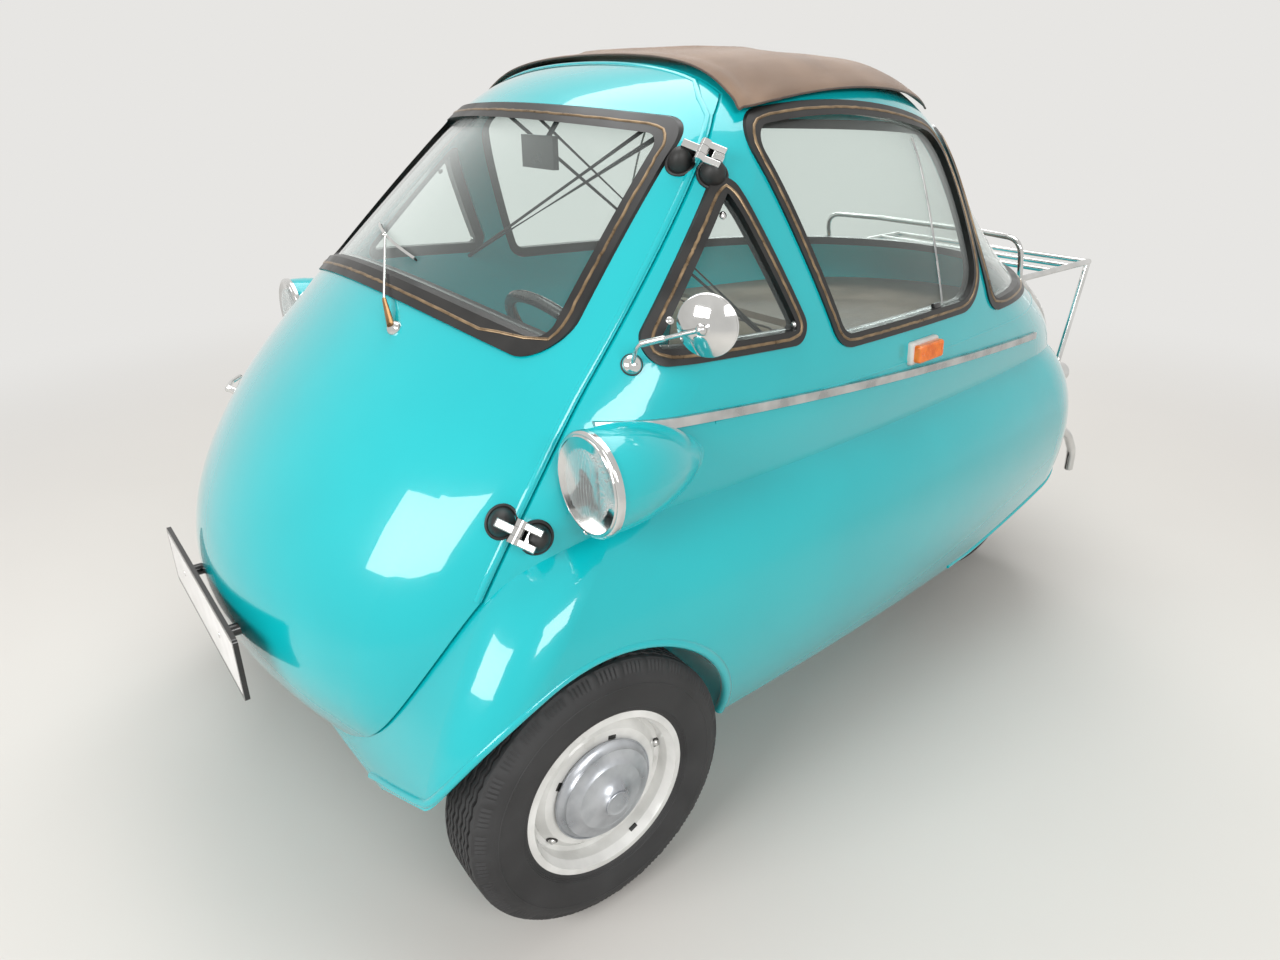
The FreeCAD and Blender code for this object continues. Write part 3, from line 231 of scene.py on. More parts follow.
MATERIALS.update({
    "roof_cloth": weave("roof_cloth", (0.17, 0.105, 0.066), (0.27, 0.175, 0.115), 0.85, 260, 0.5),
    "seat_cloth": weave("seat_cloth", (0.25, 0.19, 0.135), (0.40, 0.32, 0.24), 0.9, 180, 0.6),
    # The edge cloth is the roof cloth darkened to about two fifths: painted shade for the dark line along the
    # canvas's edges.
    "shaded_edge_cloth": weave("shaded_edge_cloth", (0.060, 0.036, 0.024), (0.11, 0.07, 0.048), 0.9, 320, 0.5),
    "amber_lens": lens_plastic("amber_lens", (0.85, 0.22, 0.02), (0.62, 0.12, 0.01)),
    "red_lens": lens_plastic("red_lens", (0.55, 0.012, 0.010), (0.32, 0.006, 0.005)),
    "glass": clear("glass", (0.93, 0.96, 0.95)),
    "lens_glass": clear("lens_glass", (0.95, 0.97, 0.97), rough=0.05, dust=0.10),
})
CHROMED_NODES = ("hinge_arms", "hinge_brackets")


def dress_nodes():
    # Every carried-over node takes the finish of its record slot, and the hinges are chromed.
    for part in frame["record"]["subparts"]:
        node = NODES[part["node"]]
        finish = "chrome" if part["node"] in CHROMED_NODES else part["material_slot"]
        node.data.materials.clear()
        node.data.materials.append(MATERIALS[finish])


# Shapes

UP = Vector((0, 0, 1))
AHEAD = (0, -1, 0)
LEFT = (1, 0, 0)
RIGHT = (-1, 0, 0)
BACK = (0, 1, 0)


def turns(count):
    return [2 * math.pi * step / count for step in range(count)]


def oval(middle, aside, up, wide, high, count):
    return [middle + aside * (wide * math.cos(turn)) + up * (high * math.sin(turn)) for turn in turns(count)]


def headings(path, closed):
    # The direction of a line at each of its points.
    count = len(path)
    for number, point in enumerate(path):
        before = path[number - 1] if number or closed else point
        after = path[(number + 1) % count] if number + 1 < count or closed else point
        yield (Vector(after) - Vector(before)).normalized()


def flipped(points):
    # The mirror image across the car's middle.
    return [Vector((-point.x, point.y, point.z)) for point in points]


def surface_of(*names):
    # The skin of some CAD nodes, to cast rays on.
    points, faces = [], []
    for name in names:
        mesh = NODES[name].data
        base = len(points)
        points += [vertex.co.copy() for vertex in mesh.vertices]
        faces += [[base + index for index in face.vertices] for face in mesh.polygons]
    return BVHTree.FromPolygons(points, faces)


def struck(skin, origin, direction):
    # Where a ray meets a skin, and the skin's outward direction there.
    place, normal, _, _ = skin.ray_cast(Vector(origin), Vector(direction).normalized())
    if place is None:
        return None, None
    if normal.dot(Vector(direction)) > 0:
        normal = -normal
    return place, normal


def seen_at(skin, column, row):
    # The point of a skin that the photograph shows at a pixel.
    camera = bpy.context.scene.camera
    across, up = column - PHOTO_WIDTH / 2, PHOTO_HEIGHT / 2 - row
    ahead = camera.rotation_quaternion @ Vector((across / FOCAL_PIXELS, up / FOCAL_PIXELS, -1))
    return struck(skin, camera.location, ahead)


def from_left(y, z):
    return (2.0, y, z), RIGHT


def from_front(x, z):
    return (x, -3.0, z), BACK


def from_behind(x, z):
    return (x, 3.0, z), AHEAD


def skin_axes(normal):
    # Outward, level along the skin, and up along it.
    along = UP.cross(normal).normalized()
    return normal, along, normal.cross(along)


def arc_points(start, middle, end, count):
    # Points on the circle through three points.
    a, b, c = Vector(start), Vector(middle), Vector(end)
    ab, ac = b - a, c - a
    normal = ab.cross(ac)
    toward = normal.cross(ab) * ac.length_squared + ac.cross(normal) * ab.length_squared
    centre = a + toward / (2 * normal.length_squared)
    first, last = a - centre, c - centre
    turn = first.angle(last)
    if first.cross(b - centre).dot(normal) * first.cross(last).dot(normal) < 0:
        turn = 2 * math.pi - turn
    axis = first.cross(b - centre).normalized()
    return [centre + Quaternion(axis, turn * step / count) @ first for step in range(count + 1)]


def rounded_path(corners, radius, steps=6):
    # A line through corners, with each inner corner turned into an arc.
    corners = [Vector(corner) for corner in corners]
    path = [corners[0]]
    for before, corner, after in zip(corners, corners[1:], corners[2:]):
        back, on = (before - corner), (after - corner)
        turn = math.pi - back.angle(on)
        if turn < 0.02:
            path.append(corner)
            continue
        cut = min(radius * math.tan(turn / 2), 0.45 * back.length, 0.45 * on.length)
        first = corner + back.normalized() * cut
        last = corner + on.normalized() * cut
        for step in range(steps + 1):
            share = step / steps
            path.append(first.lerp(corner, share).lerp(corner.lerp(last, share), share))
    path.append(corners[-1])
    return path


class Form:
    # A mesh put together from simple shapes.

    def __init__(self):
        self.points = []
        self.faces = []

    def add(self, points, faces):
        base = len(self.points)
        self.points += [Vector(point) for point in points]
        self.faces += [[base + index for index in face] for face in faces]
        return self

    def rings(self, rings, closed=False, capped=True):
        # Skins rows of points that all have the same count.
        width = len(rings[0])
        faces = []
        last = len(rings) if closed else len(rings) - 1
        for row in range(last):
            below = row * width
            above = (row + 1) % len(rings) * width
            for step in range(width):
                following = (step + 1) % width
                faces.append((below + step, below + following, above + following, above + step))
        points = [point for ring in rings for point in ring]
        if capped and not closed:
            faces.append(tuple(reversed(range(width))))
            faces.append(tuple(range(len(points) - width, len(points))))
        return self.add(points, faces)

    def tube(self, path, radius, closed=False, sides=12):
        # A round tube; radius is one number or one for each point.
        radii = radius if hasattr(radius, "__len__") else [radius] * len(path)
        rings = []
        side = None
        for point, along, reach in zip(path, headings(path, closed), radii):
            if side is None:
                side = along.orthogonal().normalized()
            side = (side - along * side.dot(along)).normalized()
            rings.append(oval(Vector(point), side, along.cross(side), reach, reach, sides))
        return self.rings(rings, closed)

    def strip(self, path, normals, half, height, closed=False, sides=10):
        # A band of oval section that lies on a skin.
        rings = [oval(Vector(point), along.cross(up).normalized(), up, half, height, sides)
                 for point, along, up in zip(path, headings(path, closed), normals)]
        return self.rings(rings, closed)

    def turned(self, profile, place, axis, steps=48):
        # A profile of (along, radius) in mm turned about an axis.
        axis = Vector(axis).normalized()
        side = axis.orthogonal().normalized()
        rings = []
        for along, radius in profile:
            reach = max(radius / 1000, 1e-5)
            middle = Vector(place) + axis * (along / 1000)
            rings.append(oval(middle, side, axis.cross(side), reach, reach, steps))
        return self.rings(rings)

    def block(self, middle, half, rounding, axes=None, ribs=None):
        # A box with rounded edges; ribs is (count, depth) along its second direction on its first face.
        axes = axes or (Vector(LEFT), Vector(BACK), UP)
        marks = []
        for reach in half:
            bend = [reach - rounding * (1 - math.sin(math.pi / 2 * step / 3)) for step in range(4)]
            marks.append([-value for value in reversed(bend)] + bend)
        if ribs:
            count = ribs[0] * 6
            inner = half[1] - rounding
            middle_marks = [-inner + 2 * inner * step / count for step in range(1, count)]
            marks[1] = sorted(marks[1] + middle_marks)
        for fixed in range(3):
            one, other = [index for index in range(3) if index != fixed]
            for sign in (-1, 1):
                width = len(marks[other])
                points = []
                for u in marks[one]:
                    for v in marks[other]:
                        spot = [0.0, 0.0, 0.0]
                        spot[fixed], spot[one], spot[other] = sign * half[fixed], u, v
                        inner = [max(-reach + rounding, min(reach - rounding, value))
                                 for value, reach in zip(spot, half)]
                        out = Vector(spot) - Vector(inner)
                        where = Vector(inner) + (out.normalized() * rounding if out.length else out)
                        flat = half[1] - rounding
                        if ribs and fixed == 0 and sign > 0 and abs(where.y) < flat:
                            where.x += ribs[1] * math.cos(math.pi * ribs[0] * where.y / flat)
                        points.append(Vector(middle) + axes[0] * where.x + axes[1] * where.y
                                      + axes[2] * where.z)
                faces = []
                for row in range(len(marks[one]) - 1):
                    for step in range(width - 1):
                        near = row * width + step
                        face = (near, near + 1, near + width + 1, near + width)
                        faces.append(face if (sign > 0) == (fixed != 1) else tuple(reversed(face)))
                self.add(points, faces)
        return self

    def dome(self, middle, axes, radii, rings=10, steps=28):
        # The outer half of an ellipsoid, standing on a skin.
        rows = []
        for row in range(rings + 1):
            lift = math.pi / 2 * row / rings
            flat = max(math.cos(lift), 0.004)
            rows.append(oval(Vector(middle) + axes[2] * (radii[2] * math.sin(lift)), axes[0], axes[1],
                             radii[0] * flat, radii[1] * flat, steps))
        return self.rings(rows)

    def both_sides(self):
        return self.add(flipped(self.points), [tuple(reversed(face)) for face in self.faces])

    def piece(self, name, material, body, slot=None, sharp=35):
        mesh = bpy.data.meshes.new(name)
        mesh.from_pydata([tuple(point) for point in self.points], [], [tuple(face) for face in self.faces])
        mesh.materials.append(MATERIALS[material])
        whole = bmesh.new()
        whole.from_mesh(mesh)
        bmesh.ops.remove_doubles(whole, verts=whole.verts, dist=1e-6)
        bmesh.ops.recalc_face_normals(whole, faces=whole.faces)
        whole.to_mesh(mesh)
        whole.free()
        for face in mesh.polygons:
            face.use_smooth = True
        mesh.set_sharp_from_angle(angle=math.radians(sharp))
        thing = bpy.data.objects.new(name, mesh)
        bpy.context.scene.collection.objects.link(thing)
        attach(thing, body)
        return thing


# Body trim

BAND_STEPS = 240


def band_middle(caster, centre, reach, count, skin):
    # The line along the middle of a window rubber, found by going outwards from the window's middle.
    path, normals = [], []
    for turn in turns(count):

        def at(share):
            aside, up = reach[0] * share * math.cos(turn), reach[1] * share * math.sin(turn)
            return struck(skin, *caster(centre[0] + aside, centre[1] + up))

        first = last = None
        for step in range(BAND_STEPS):
            share = step / BAND_STEPS
            if at(share)[0] is not None:
                first = share if first is None else first
                last = share
            elif first is not None:
                break
        if first is None:
            continue
        place, normal = at((first + last) / 2)
        if place is not None:
            path.append(place)
            normals.append(normal)
    return path, normals


def round_tail(heading, z):
    # Rays that come in towards an upright line ahead of the tail.
    out = Vector((math.sin(heading), math.cos(heading), 0))
    return Vector((0, 0.25, z)) + out * 2, -out


FILLER_HALF = 0.0026
FILLER_PROUD = 0.0016
# Name, rubber, body, where its rays come from, and for each window its middle, its reach and its points
FILLERS = (
    ("window_filler_strips", "window_rubbers", "car_body", from_left,
     (((0.0, 1.03), (0.5, 0.4), 150), ((-0.405, 0.985), (0.32, 0.32), 150))),
    ("rear_filler_strip", "rear_window_rubber", "car_body", round_tail, (((0.0, 1.02), (1.6, 0.4), 220),)),
    ("windscreen_filler_strip", "windscreen_rubber", "front_door", from_front,
     (((0.0, 1.06), (0.7, 0.4), 200),)))


def filler_strips():
    for name, rubber, body, caster, windows in FILLERS:
        strips = Form()
        for window in windows:
            line = band_middle(caster, *window, surface_of(rubber))
            strips.strip(*line, FILLER_HALF, FILLER_PROUD, closed=True)
        if caster is from_left:
            strips.both_sides()
        strips.piece(name, "filler_strip", body, "trim_metal")


SEAM_LOW = (-0.998, 0.225)
SEAM_BEND = (-0.852, 0.612)
SEAM_MIDDLE = (-0.657, 0.882)
SEAM_HIGH = (-0.322, 1.236)
SEAM_ROOF = -0.2835
SEAM_START = 0.275
# Each band: its shift along the car, how deep it sits, and its section
EDGE_LIP = (-0.0115, 0.0012, (0.0055, 0.0042))
DOOR_SEAL = (0.003, 0.016, (0.0045, 0.006))
SEAL_AHEAD = 0.006


def seam_line(shift):
    # The seam from the sill to the middle of the roof, moved along the car, as rays from outside.
    rays = []
    lower = arc_points((0, *SEAM_LOW), (0, *SEAM_BEND), (0, *SEAM_MIDDLE), 30)
    upper = [Vector((0, *SEAM_MIDDLE)).lerp(Vector((0, *SEAM_HIGH)), step / 16) for step in range(1, 17)]
    for point in lower + upper:
        if point.z > SEAM_START:
            rays.append(from_left(point.y + shift, point.z))
    for step in range(1, 25):
        lean = math.radians(18 + 72 * step / 24)
        out = Vector((math.cos(lean), 0, math.sin(lean)))
        header = min(1.0, step / 3)
        y = SEAM_HIGH[0] + (SEAM_ROOF - SEAM_HIGH[0]) * header + shift
        rays.append((Vector((0, y, 1.12)) + out * 1.5, -out))
    return rays


def along_seam(skin, shift, sink):
    path, normals = [], []
    for origin, direction in seam_line(shift):
        place, normal = struck(skin, origin, direction)
        if place is None:
            continue
        path.append(place - normal * sink)
        normals.append(normal)
    return path + flipped(reversed(path[:-1])), normals + flipped(reversed(normals[:-1]))


def door_edges():
    # A rolled lip along the door's edge, and a rubber seal set deep in the gap behind it.
    door = surface_of("door_shell")
    shift, sink, section = EDGE_LIP
    path, normals = along_seam(door, shift, sink)
    Form().strip(path, normals, *section).piece("door_edge_lip", "body_paint", "front_door")
    body = surface_of("lower_body", "upper_frame")
    shift, sink, section = DOOR_SEAL
    path, normals = along_seam(body, shift, sink)
    path = [point - Vector((0, SEAL_AHEAD, 0)) for point in path]
    Form().strip(path, normals, *section).piece("door_seal", "soft_rubber", "car_body", "rubber")


ARCH_RADIUS = 0.285
ARCH_HEIGHT = 0.223
LIP_INSET = 0.002
LIP_RADIUS = 0.0085


def arch_lips():
    body = surface_of("lower_body")
    path, radii = [], []
    for step in range(73):
        turn = math.radians(2.5 + 175 * step / 72)
        y = FRONT_AXLE + (ARCH_RADIUS + LIP_INSET) * math.cos(turn)
        z = ARCH_HEIGHT + (ARCH_RADIUS + LIP_INSET) * math.sin(turn)
        place, _ = struck(body, *from_left(y, z))
        if place is None:
            continue
        path.append(place - Vector((0.004, 0, 0)))
        radii.append(LIP_RADIUS * (0.8 + 0.35 * max(0.0, math.cos(turn))))
    Form().tube(path, radii, sides=14).both_sides().piece("wheel_arch_lips", "body_paint", "car_body")


BELT = 0.8005
BELT_START = -0.68
BELT_SECTION = (0.0028, 0.0014)
TAIL_LIP_RADIUS = 0.0055
TAIL_EDGE_FROM, TAIL_EDGE_LENGTH, TAIL_EDGE_HEIGHT = 0.34, 0.655, 0.233
TAIL_RISE_FROM, TAIL_RISE = 0.43, 0.209


def weld_lines():
    # The welded joint of lower body and upper frame, and the rolled lower edge of the tail.
    body = surface_of("lower_body", "upper_frame")
    path, normals = [], []
    for step in range(121):
        heading = math.radians(-128 + 256 * step / 120)
        out = Vector((math.sin(heading), math.cos(heading), 0))
        place, normal = struck(body, Vector((0, 0.0, BELT)) + out * 2, -out)
        if place is not None and place.y > BELT_START:
            path.append(place)
            normals.append(normal)
    Form().strip(path, normals, *BELT_SECTION).piece("belt_weld", "body_paint", "car_body")
    lower = []
    for step in range(41):
        y = TAIL_EDGE_FROM + TAIL_EDGE_LENGTH * step / 40
        z = TAIL_EDGE_HEIGHT + max(0.0, y - TAIL_RISE_FROM) * TAIL_RISE
        place, _ = struck(body, *from_left(y, z + 0.004))
        if place is not None:
            lower.append(place - Vector((0.002, 0, 0)))
    Form().tube(lower, TAIL_LIP_RADIUS).both_sides().piece("tail_lower_lips", "body_paint", "car_body")


# Lamps

LAMP_MIDDLE = Vector((0.648, -0.732, 0.785))
LENS_REACH = 0.019
LENS_EDGE = 0.0065
FLUTES = 20
FLUTE_DEPTH = 0.0007
# Turned profiles in mm, (along the axis, radius); RING_SHARES has the radius as a share of the lamp's
BULB = ((0.8, 13), (3, 13.5), (5.5, 10.5), (7, 5.5), (7.4, 0))
RING_SHARES = ((0, 1.055), (6, 1.06), (11.5, 1.04), (12.5, 1.015), (11.5, 0.992))
RING_SCREW = ((0, 0), (0, 5.2), (3.5, 5.2), (6, 3), (6.4, 0))


def headlamps():
    glass, bowl, bulb, rim = Form(), Form(), Form(), Form()
    edge = LAMP_RADIUS - 0.0006
    rings = []
    for row in range(33):
        radius = max(edge * row / 32, 1e-5)
        ring = []
        for turn in turns(144):
            x, z = radius * math.cos(turn), radius * math.sin(turn)
            dome = LENS_EDGE + (LENS_REACH - LENS_EDGE) * (1 - (radius / edge) ** 2)
            fade = min(1.0, 6 * (1 - radius / edge))
            flute = FLUTE_DEPTH * fade * math.cos(math.pi * FLUTES * x / edge)
            ring.append(LAMP_MIDDLE + Vector((x, -dome - flute, z)))
        rings.append(ring)
    rings.append([point + Vector((0, 0.004, 0)) for point in rings[-1]])
    glass.rings(rings, capped=False)
    rim_mm = edge * 1000
    dish = [(0.6 + 4.5 * (share / 12) ** 2, 3.5 + (rim_mm - 5.5) * share / 12) for share in range(13)]
    bowl.turned([(0.6, 0)] + dish + [(6.2, rim_mm - 0.6)], LAMP_MIDDLE, AHEAD, 64)
    bulb.turned(BULB, LAMP_MIDDLE, AHEAD, 32)
    lens = glass.both_sides().piece("headlamp_lenses", "lens_glass", "car_body", "glass")
    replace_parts(lens, "headlamp_glasses")
    bowl.both_sides().piece("headlamp_reflectors", "reflector", "car_body", "chrome")
    bulb.both_sides().piece("headlamp_bulbs", "bulb", "car_body", "glass")
    rim.turned([(along, share * LAMP_RADIUS * 1000) for along, share in RING_SHARES], LAMP_MIDDLE, AHEAD, 96)
    screw = LAMP_MIDDLE + Vector((-0.012, -0.004, -LAMP_RADIUS * 1.11))
    rim.turned(RING_SCREW, screw, (0, -1, -0.3), 20)
    rim.both_sides().piece("headlamp_rim_beads", "chrome", "car_body")


INDICATOR = (0.086, 0.815)
INDICATOR_RIBS = (13, 0.0007)
PLINTH_HALF = (0.009, 0.048, 0.022)
INDICATOR_HALF = (0.0095, 0.0425, 0.0168)
INDICATOR_SCREWS_AT = 0.034
INDICATOR_SCREW = ((-1, 3.2), (0.4, 3), (0.8, 1.8))


def indicators():
    body = surface_of("upper_frame", "lower_body")
    place, normal = struck(body, *from_left(*INDICATOR))
    axes = skin_axes(normal)
    base = Form().block(place + normal * 0.001, PLINTH_HALF, 0.006, axes).both_sides()
    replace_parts(base.piece("indicator_plinths", "grey_plastic", "car_body"), "indicator_bases")
    lens = Form().block(place + normal * 0.0155, INDICATOR_HALF, 0.0055, axes, INDICATOR_RIBS)
    for side in (-1, 1):
        spot = place + normal * 0.0255 + axes[1] * (INDICATOR_SCREWS_AT * side)
        lens.turned(INDICATOR_SCREW, spot, normal, 16)
    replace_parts(lens.both_sides().piece("indicator_lenses", "amber_lens", "car_body"), "indicator_lamps")


TAIL_LAMP = (0.385, 0.560)
TAIL_LAMP_MM = 27
TAIL_LENS_MM = 24
BEZEL = ((-30, 27), (12, 27.4), (17.5, 26.2), (19, 24.5), (18, 23))


def tail_lamps():
    place, _ = struck(surface_of("lower_body"), *from_behind(*TAIL_LAMP))
    lens = [(-20, TAIL_LENS_MM)]
    for step in range(25):
        radius = TAIL_LENS_MM * (1 - step / 24)
        dome = 18 + 7 * (1 - (radius / TAIL_LAMP_MM) ** 2)
        lens.append((dome + 0.5 * math.cos(step * math.pi), radius))
    red = Form().turned(lens, place, BACK, 48).both_sides()
    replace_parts(red.piece("tail_lamp_lenses", "red_lens", "car_body"), "tail_lamps")
    ring = Form().turned(BEZEL, place, BACK, 48)
    ring.both_sides().piece("tail_lamp_bezels", "chrome", "car_body")


# Mirror, wiper and door fittings

MIRROR_FOOT = (-0.596, 0.906)
MIRROR_HEAD = Vector((0.660, -0.545, 0.977))
MIRROR_FACE = Vector((-0.5, 0.86, 0)).normalized()
MIRROR_RADIUS = 0.044
MIRROR_ROD = 0.0034
MIRROR_BEAD = 0.0021
ROD_SLEEVE = (0.0052, 0.0048, 0.0036)
GASKET = ((-4, 0), (-4, 16.8), (1.8, 16.8), (2.6, 15.5), (2.6, 0))
MIRROR_DOME = ((2.2, 15), (4.5, 14.8), (8, 12.5), (10.5, 8), (12, 4), (12.4, 0))
MIRROR_HUB = ((-8.5, 0), (-7.8, 3.8), (-4.5, 7.2), (0, 8.5), (4.5, 7.2), (7, 10), (9, 12.5), (10, 13))


def door_mirror():
    body = surface_of("lower_body", "upper_frame")
    place, normal = struck(body, *from_left(*MIRROR_FOOT))
    gasket = Form().turned(GASKET, place, normal, 36)
    gasket.piece("mirror_gasket", "soft_rubber", "car_body", "rubber")
    metal = Form()
    metal.turned(MIRROR_DOME, place, normal, 36)
    hub = MIRROR_HEAD - MIRROR_FACE * 0.0215
    start = place + normal * 0.009
    elbow = place + normal * 0.034 + Vector((0, 0.005, 0.020))
    rod = rounded_path([start, elbow, hub], 0.03)
    metal.tube(rod, MIRROR_ROD, sides=16)
    sleeve_end = elbow.lerp(hub, 0.42)
    metal.tube([elbow.lerp(hub, 0.06), sleeve_end, sleeve_end + (hub - elbow).normalized() * 0.003],
               ROD_SLEEVE, sides=16)
    metal.turned(MIRROR_HUB, hub, MIRROR_FACE, 32)
    edge_mm = MIRROR_RADIUS * 1000
    back = [(-15 * (1 - (step / 16) ** 2.2), edge_mm * step / 16) for step in range(17)]
    metal.turned(back + [(4, edge_mm + 0.2), (4.5, edge_mm - 2)], MIRROR_HEAD, MIRROR_FACE, 72)
    rim = MIRROR_RADIUS - 0.0004
    circle = oval(MIRROR_HEAD + MIRROR_FACE * 0.0035, UP, UP.cross(MIRROR_FACE), rim, rim, 72)
    metal.tube(circle, MIRROR_BEAD, closed=True)
    shell = metal.piece("mirror_body", "chrome", "car_body")
    disc = ((2, 0), (4.2, 0), (4.2, edge_mm - 2), (2, edge_mm - 2))
    Form().turned(disc, MIRROR_HEAD, MIRROR_FACE, 64).piece(
        "mirror_face", "mirror_glass", "car_body", "chrome")
    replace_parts(shell, "door_mirror")


WIPER_FOOT = (0.195, 0.922)
WIPER_JOINT = (-0.028, 1.026)
BLADE_ENDS = ((-0.114, 1.038), (0.113, 1.008))
BLADE_HEIGHT = 0.0082
BLADE_BOW = 0.0045
BLADE_SECTION = (0.0028, 0.0016)
RUBBER_HEIGHT = 0.0050
RUBBER_SECTION = (0.0020, 0.0042)
ARM_RADIUS = 0.0022
LINK_RADIUS = 0.0016
SLEEVE_RADII = (0.0068, 0.0052, 0.0034)
WIPER_BASE = ((-2, 13.5), (2, 13.2), (6, 11), (9.5, 7.5), (10.5, 0))
BLADE_PIN = ((-3, 0), (-3, 4.5), (3, 4.5), (4.5, 3), (4.5, 0))


def wiper():
    door = surface_of("door_shell", "windscreen", "windscreen_rubber")
    place, normal = struck(door, *from_front(*WIPER_FOOT))
    metal = Form()
    metal.turned(WIPER_BASE, place, normal, 32)
    joint, joint_normal = struck(door, *from_front(*WIPER_JOINT))
    joint = joint + joint_normal * 0.013
    start = place + normal * 0.008
    bend = place + normal * 0.020 + (joint - place) * 0.22
    arm = rounded_path([start, bend, joint], 0.05)
    metal.tube(arm, ARM_RADIUS, sides=12)
    metal.turned(BLADE_PIN, joint, joint_normal, 20)
    spine, squeegee, ups = [], [], []
    for step in range(15):
        share = step / 14
        x = BLADE_ENDS[0][0] + (BLADE_ENDS[1][0] - BLADE_ENDS[0][0]) * share
        z = BLADE_ENDS[0][1] + (BLADE_ENDS[1][1] - BLADE_ENDS[0][1]) * share
        point, out = struck(door, *from_front(x, z))
        if point is None:
            continue
        spine.append(point + out * (BLADE_HEIGHT + BLADE_BOW * math.sin(math.pi * share)))
        squeegee.append(point + out * RUBBER_HEIGHT)
        ups.append(out)
    metal.strip(spine, ups, *BLADE_SECTION)
    for number in (2, 7, 12):
        metal.tube([spine[number], squeegee[number]], LINK_RADIUS, sides=8)
    shown = metal.piece("wiper_arm", "chrome", "front_door")
    Form().strip(squeegee, ups, *RUBBER_SECTION).piece("wiper_rubber", "soft_rubber", "front_door", "rubber")
    sleeve = Form().tube([start, start.lerp(bend, 0.5), bend], SLEEVE_RADII, sides=18)
    sleeve.piece("wiper_sleeve", "bronze", "front_door", "trim_metal")
    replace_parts(shown, "wiper")


PLATE_INSET = 0.010
PLATE_BOLTS_AT = (-0.13, 0.13)
PLATE_BOLT = ((0, 0), (0, 6.5), (0.6, 6), (1, 4), (1.2, 0))


def plate_face():
    low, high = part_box("front_plate")
    middle = Vector((0, low[1] + 0.0007, (low[2] + high[2]) / 2))
    half = (PLATE_SIZE[0] / 2 - PLATE_INSET, 0.0010, PLATE_SIZE[1] / 2 - PLATE_INSET)
    Form().block(middle, half, 0.0009).piece("plate_face", "plate_white", "front_door", "black_plastic")
    bolts = Form()
    for x in PLATE_BOLTS_AT:
        bolts.turned(PLATE_BOLT, middle + Vector((x, -0.0008, 0.008)), AHEAD, 20)
    bolts.piece("plate_bolts", "chrome", "front_door")


HANDLE = (-0.455, 0.665)
HANDLE_PLATE = (0.017, 0.026, 0.009)
LEVER_RADIUS = 0.0052
HANDLE_STEM = ((4, 8.5), (18, 7.2), (26, 8.5), (29.5, 6), (30, 0))


def door_handle():
    # The lever that opens the door, on the side away from its hinges.
    door = surface_of("door_shell")
    place, normal = struck(door, *from_front(*HANDLE))
    _, aside, up = skin_axes(normal)
    metal = Form().dome(place - normal * 0.001, (aside, up, normal), HANDLE_PLATE)
    metal.turned(HANDLE_STEM, place, normal, 28)
    lever = [place + normal * 0.024, place + normal * 0.030 - aside * 0.035,
             place + normal * 0.026 - aside * 0.085]
    metal.tube(rounded_path(lever, 0.05), LEVER_RADIUS, sides=14)
    metal.piece("door_handle", "chrome", "front_door")


# Hinges

HINGE_AXIS = Vector((-0.16272, 0.64663, 0.74525))
HINGE_POINTS = (Vector((0.57337, -0.81311, 0.70617)), Vector((0.47040, -0.40400, 1.17770)))
BOOT_SPREAD = 0.027
BOOT_LENGTH = 0.0225
BOOT_HEIGHT = 0.0310
FLANGE_RADIUS = 0.0030


def hinge_boots():
    # Two rubber boots at each hinge, one on the door and one on the body, on either side of the knuckle.
    skin = surface_of("lower_body", "upper_frame", "door_shell")
    for end, carrier in ((-1, "front_door"), (1, "car_body")):
        boots = Form()
        for pivot in HINGE_POINTS:
            foot = skin.find_nearest(pivot)[0]
            normal = (pivot - foot).normalized()
            away = normal.cross(HINGE_AXIS).normalized()
            if away.y < 0:
                away = -away
            seat, out = struck(skin, foot + away * (BOOT_SPREAD * end) + normal * 0.1, -normal)
            if seat is None:
                continue
            along = away.cross(out).normalized()
            aside = out.cross(along).normalized()
            reach = 0.0195 if end < 0 else 0.0215
            boots.dome(seat - out * 0.003, (aside, along, out), (reach, BOOT_LENGTH, BOOT_HEIGHT), 14, 36)
            flange = oval(seat, aside, along, reach + 0.0015, BOOT_LENGTH + 0.002, 48)
            boots.tube(flange, FLANGE_RADIUS, closed=True, sides=8)
        boots.piece("hinge_boots_" + ("door" if end < 0 else "body"), "soft_rubber", carrier, "rubber")


# Luggage rack and bumper horns

RACK_X = 0.322
RACK_TUBE = 0.008
RACK_STAND = 0.004
RACK_LEVELS = (0.822, 0.760, 0.720, 0.680, 0.638, 0.590, 0.534)
RACK_TOP = 0.924
RACK_REAR = Vector((RACK_X, 1.146, 0.830))
RACK_CROSS = 0.007
PLATFORM_SHARES = (0.46, 0.73)
LOOP_BOW = 0.040


def tail_at(skin, x, z):
    return struck(skin, *from_behind(x, z))[0].y


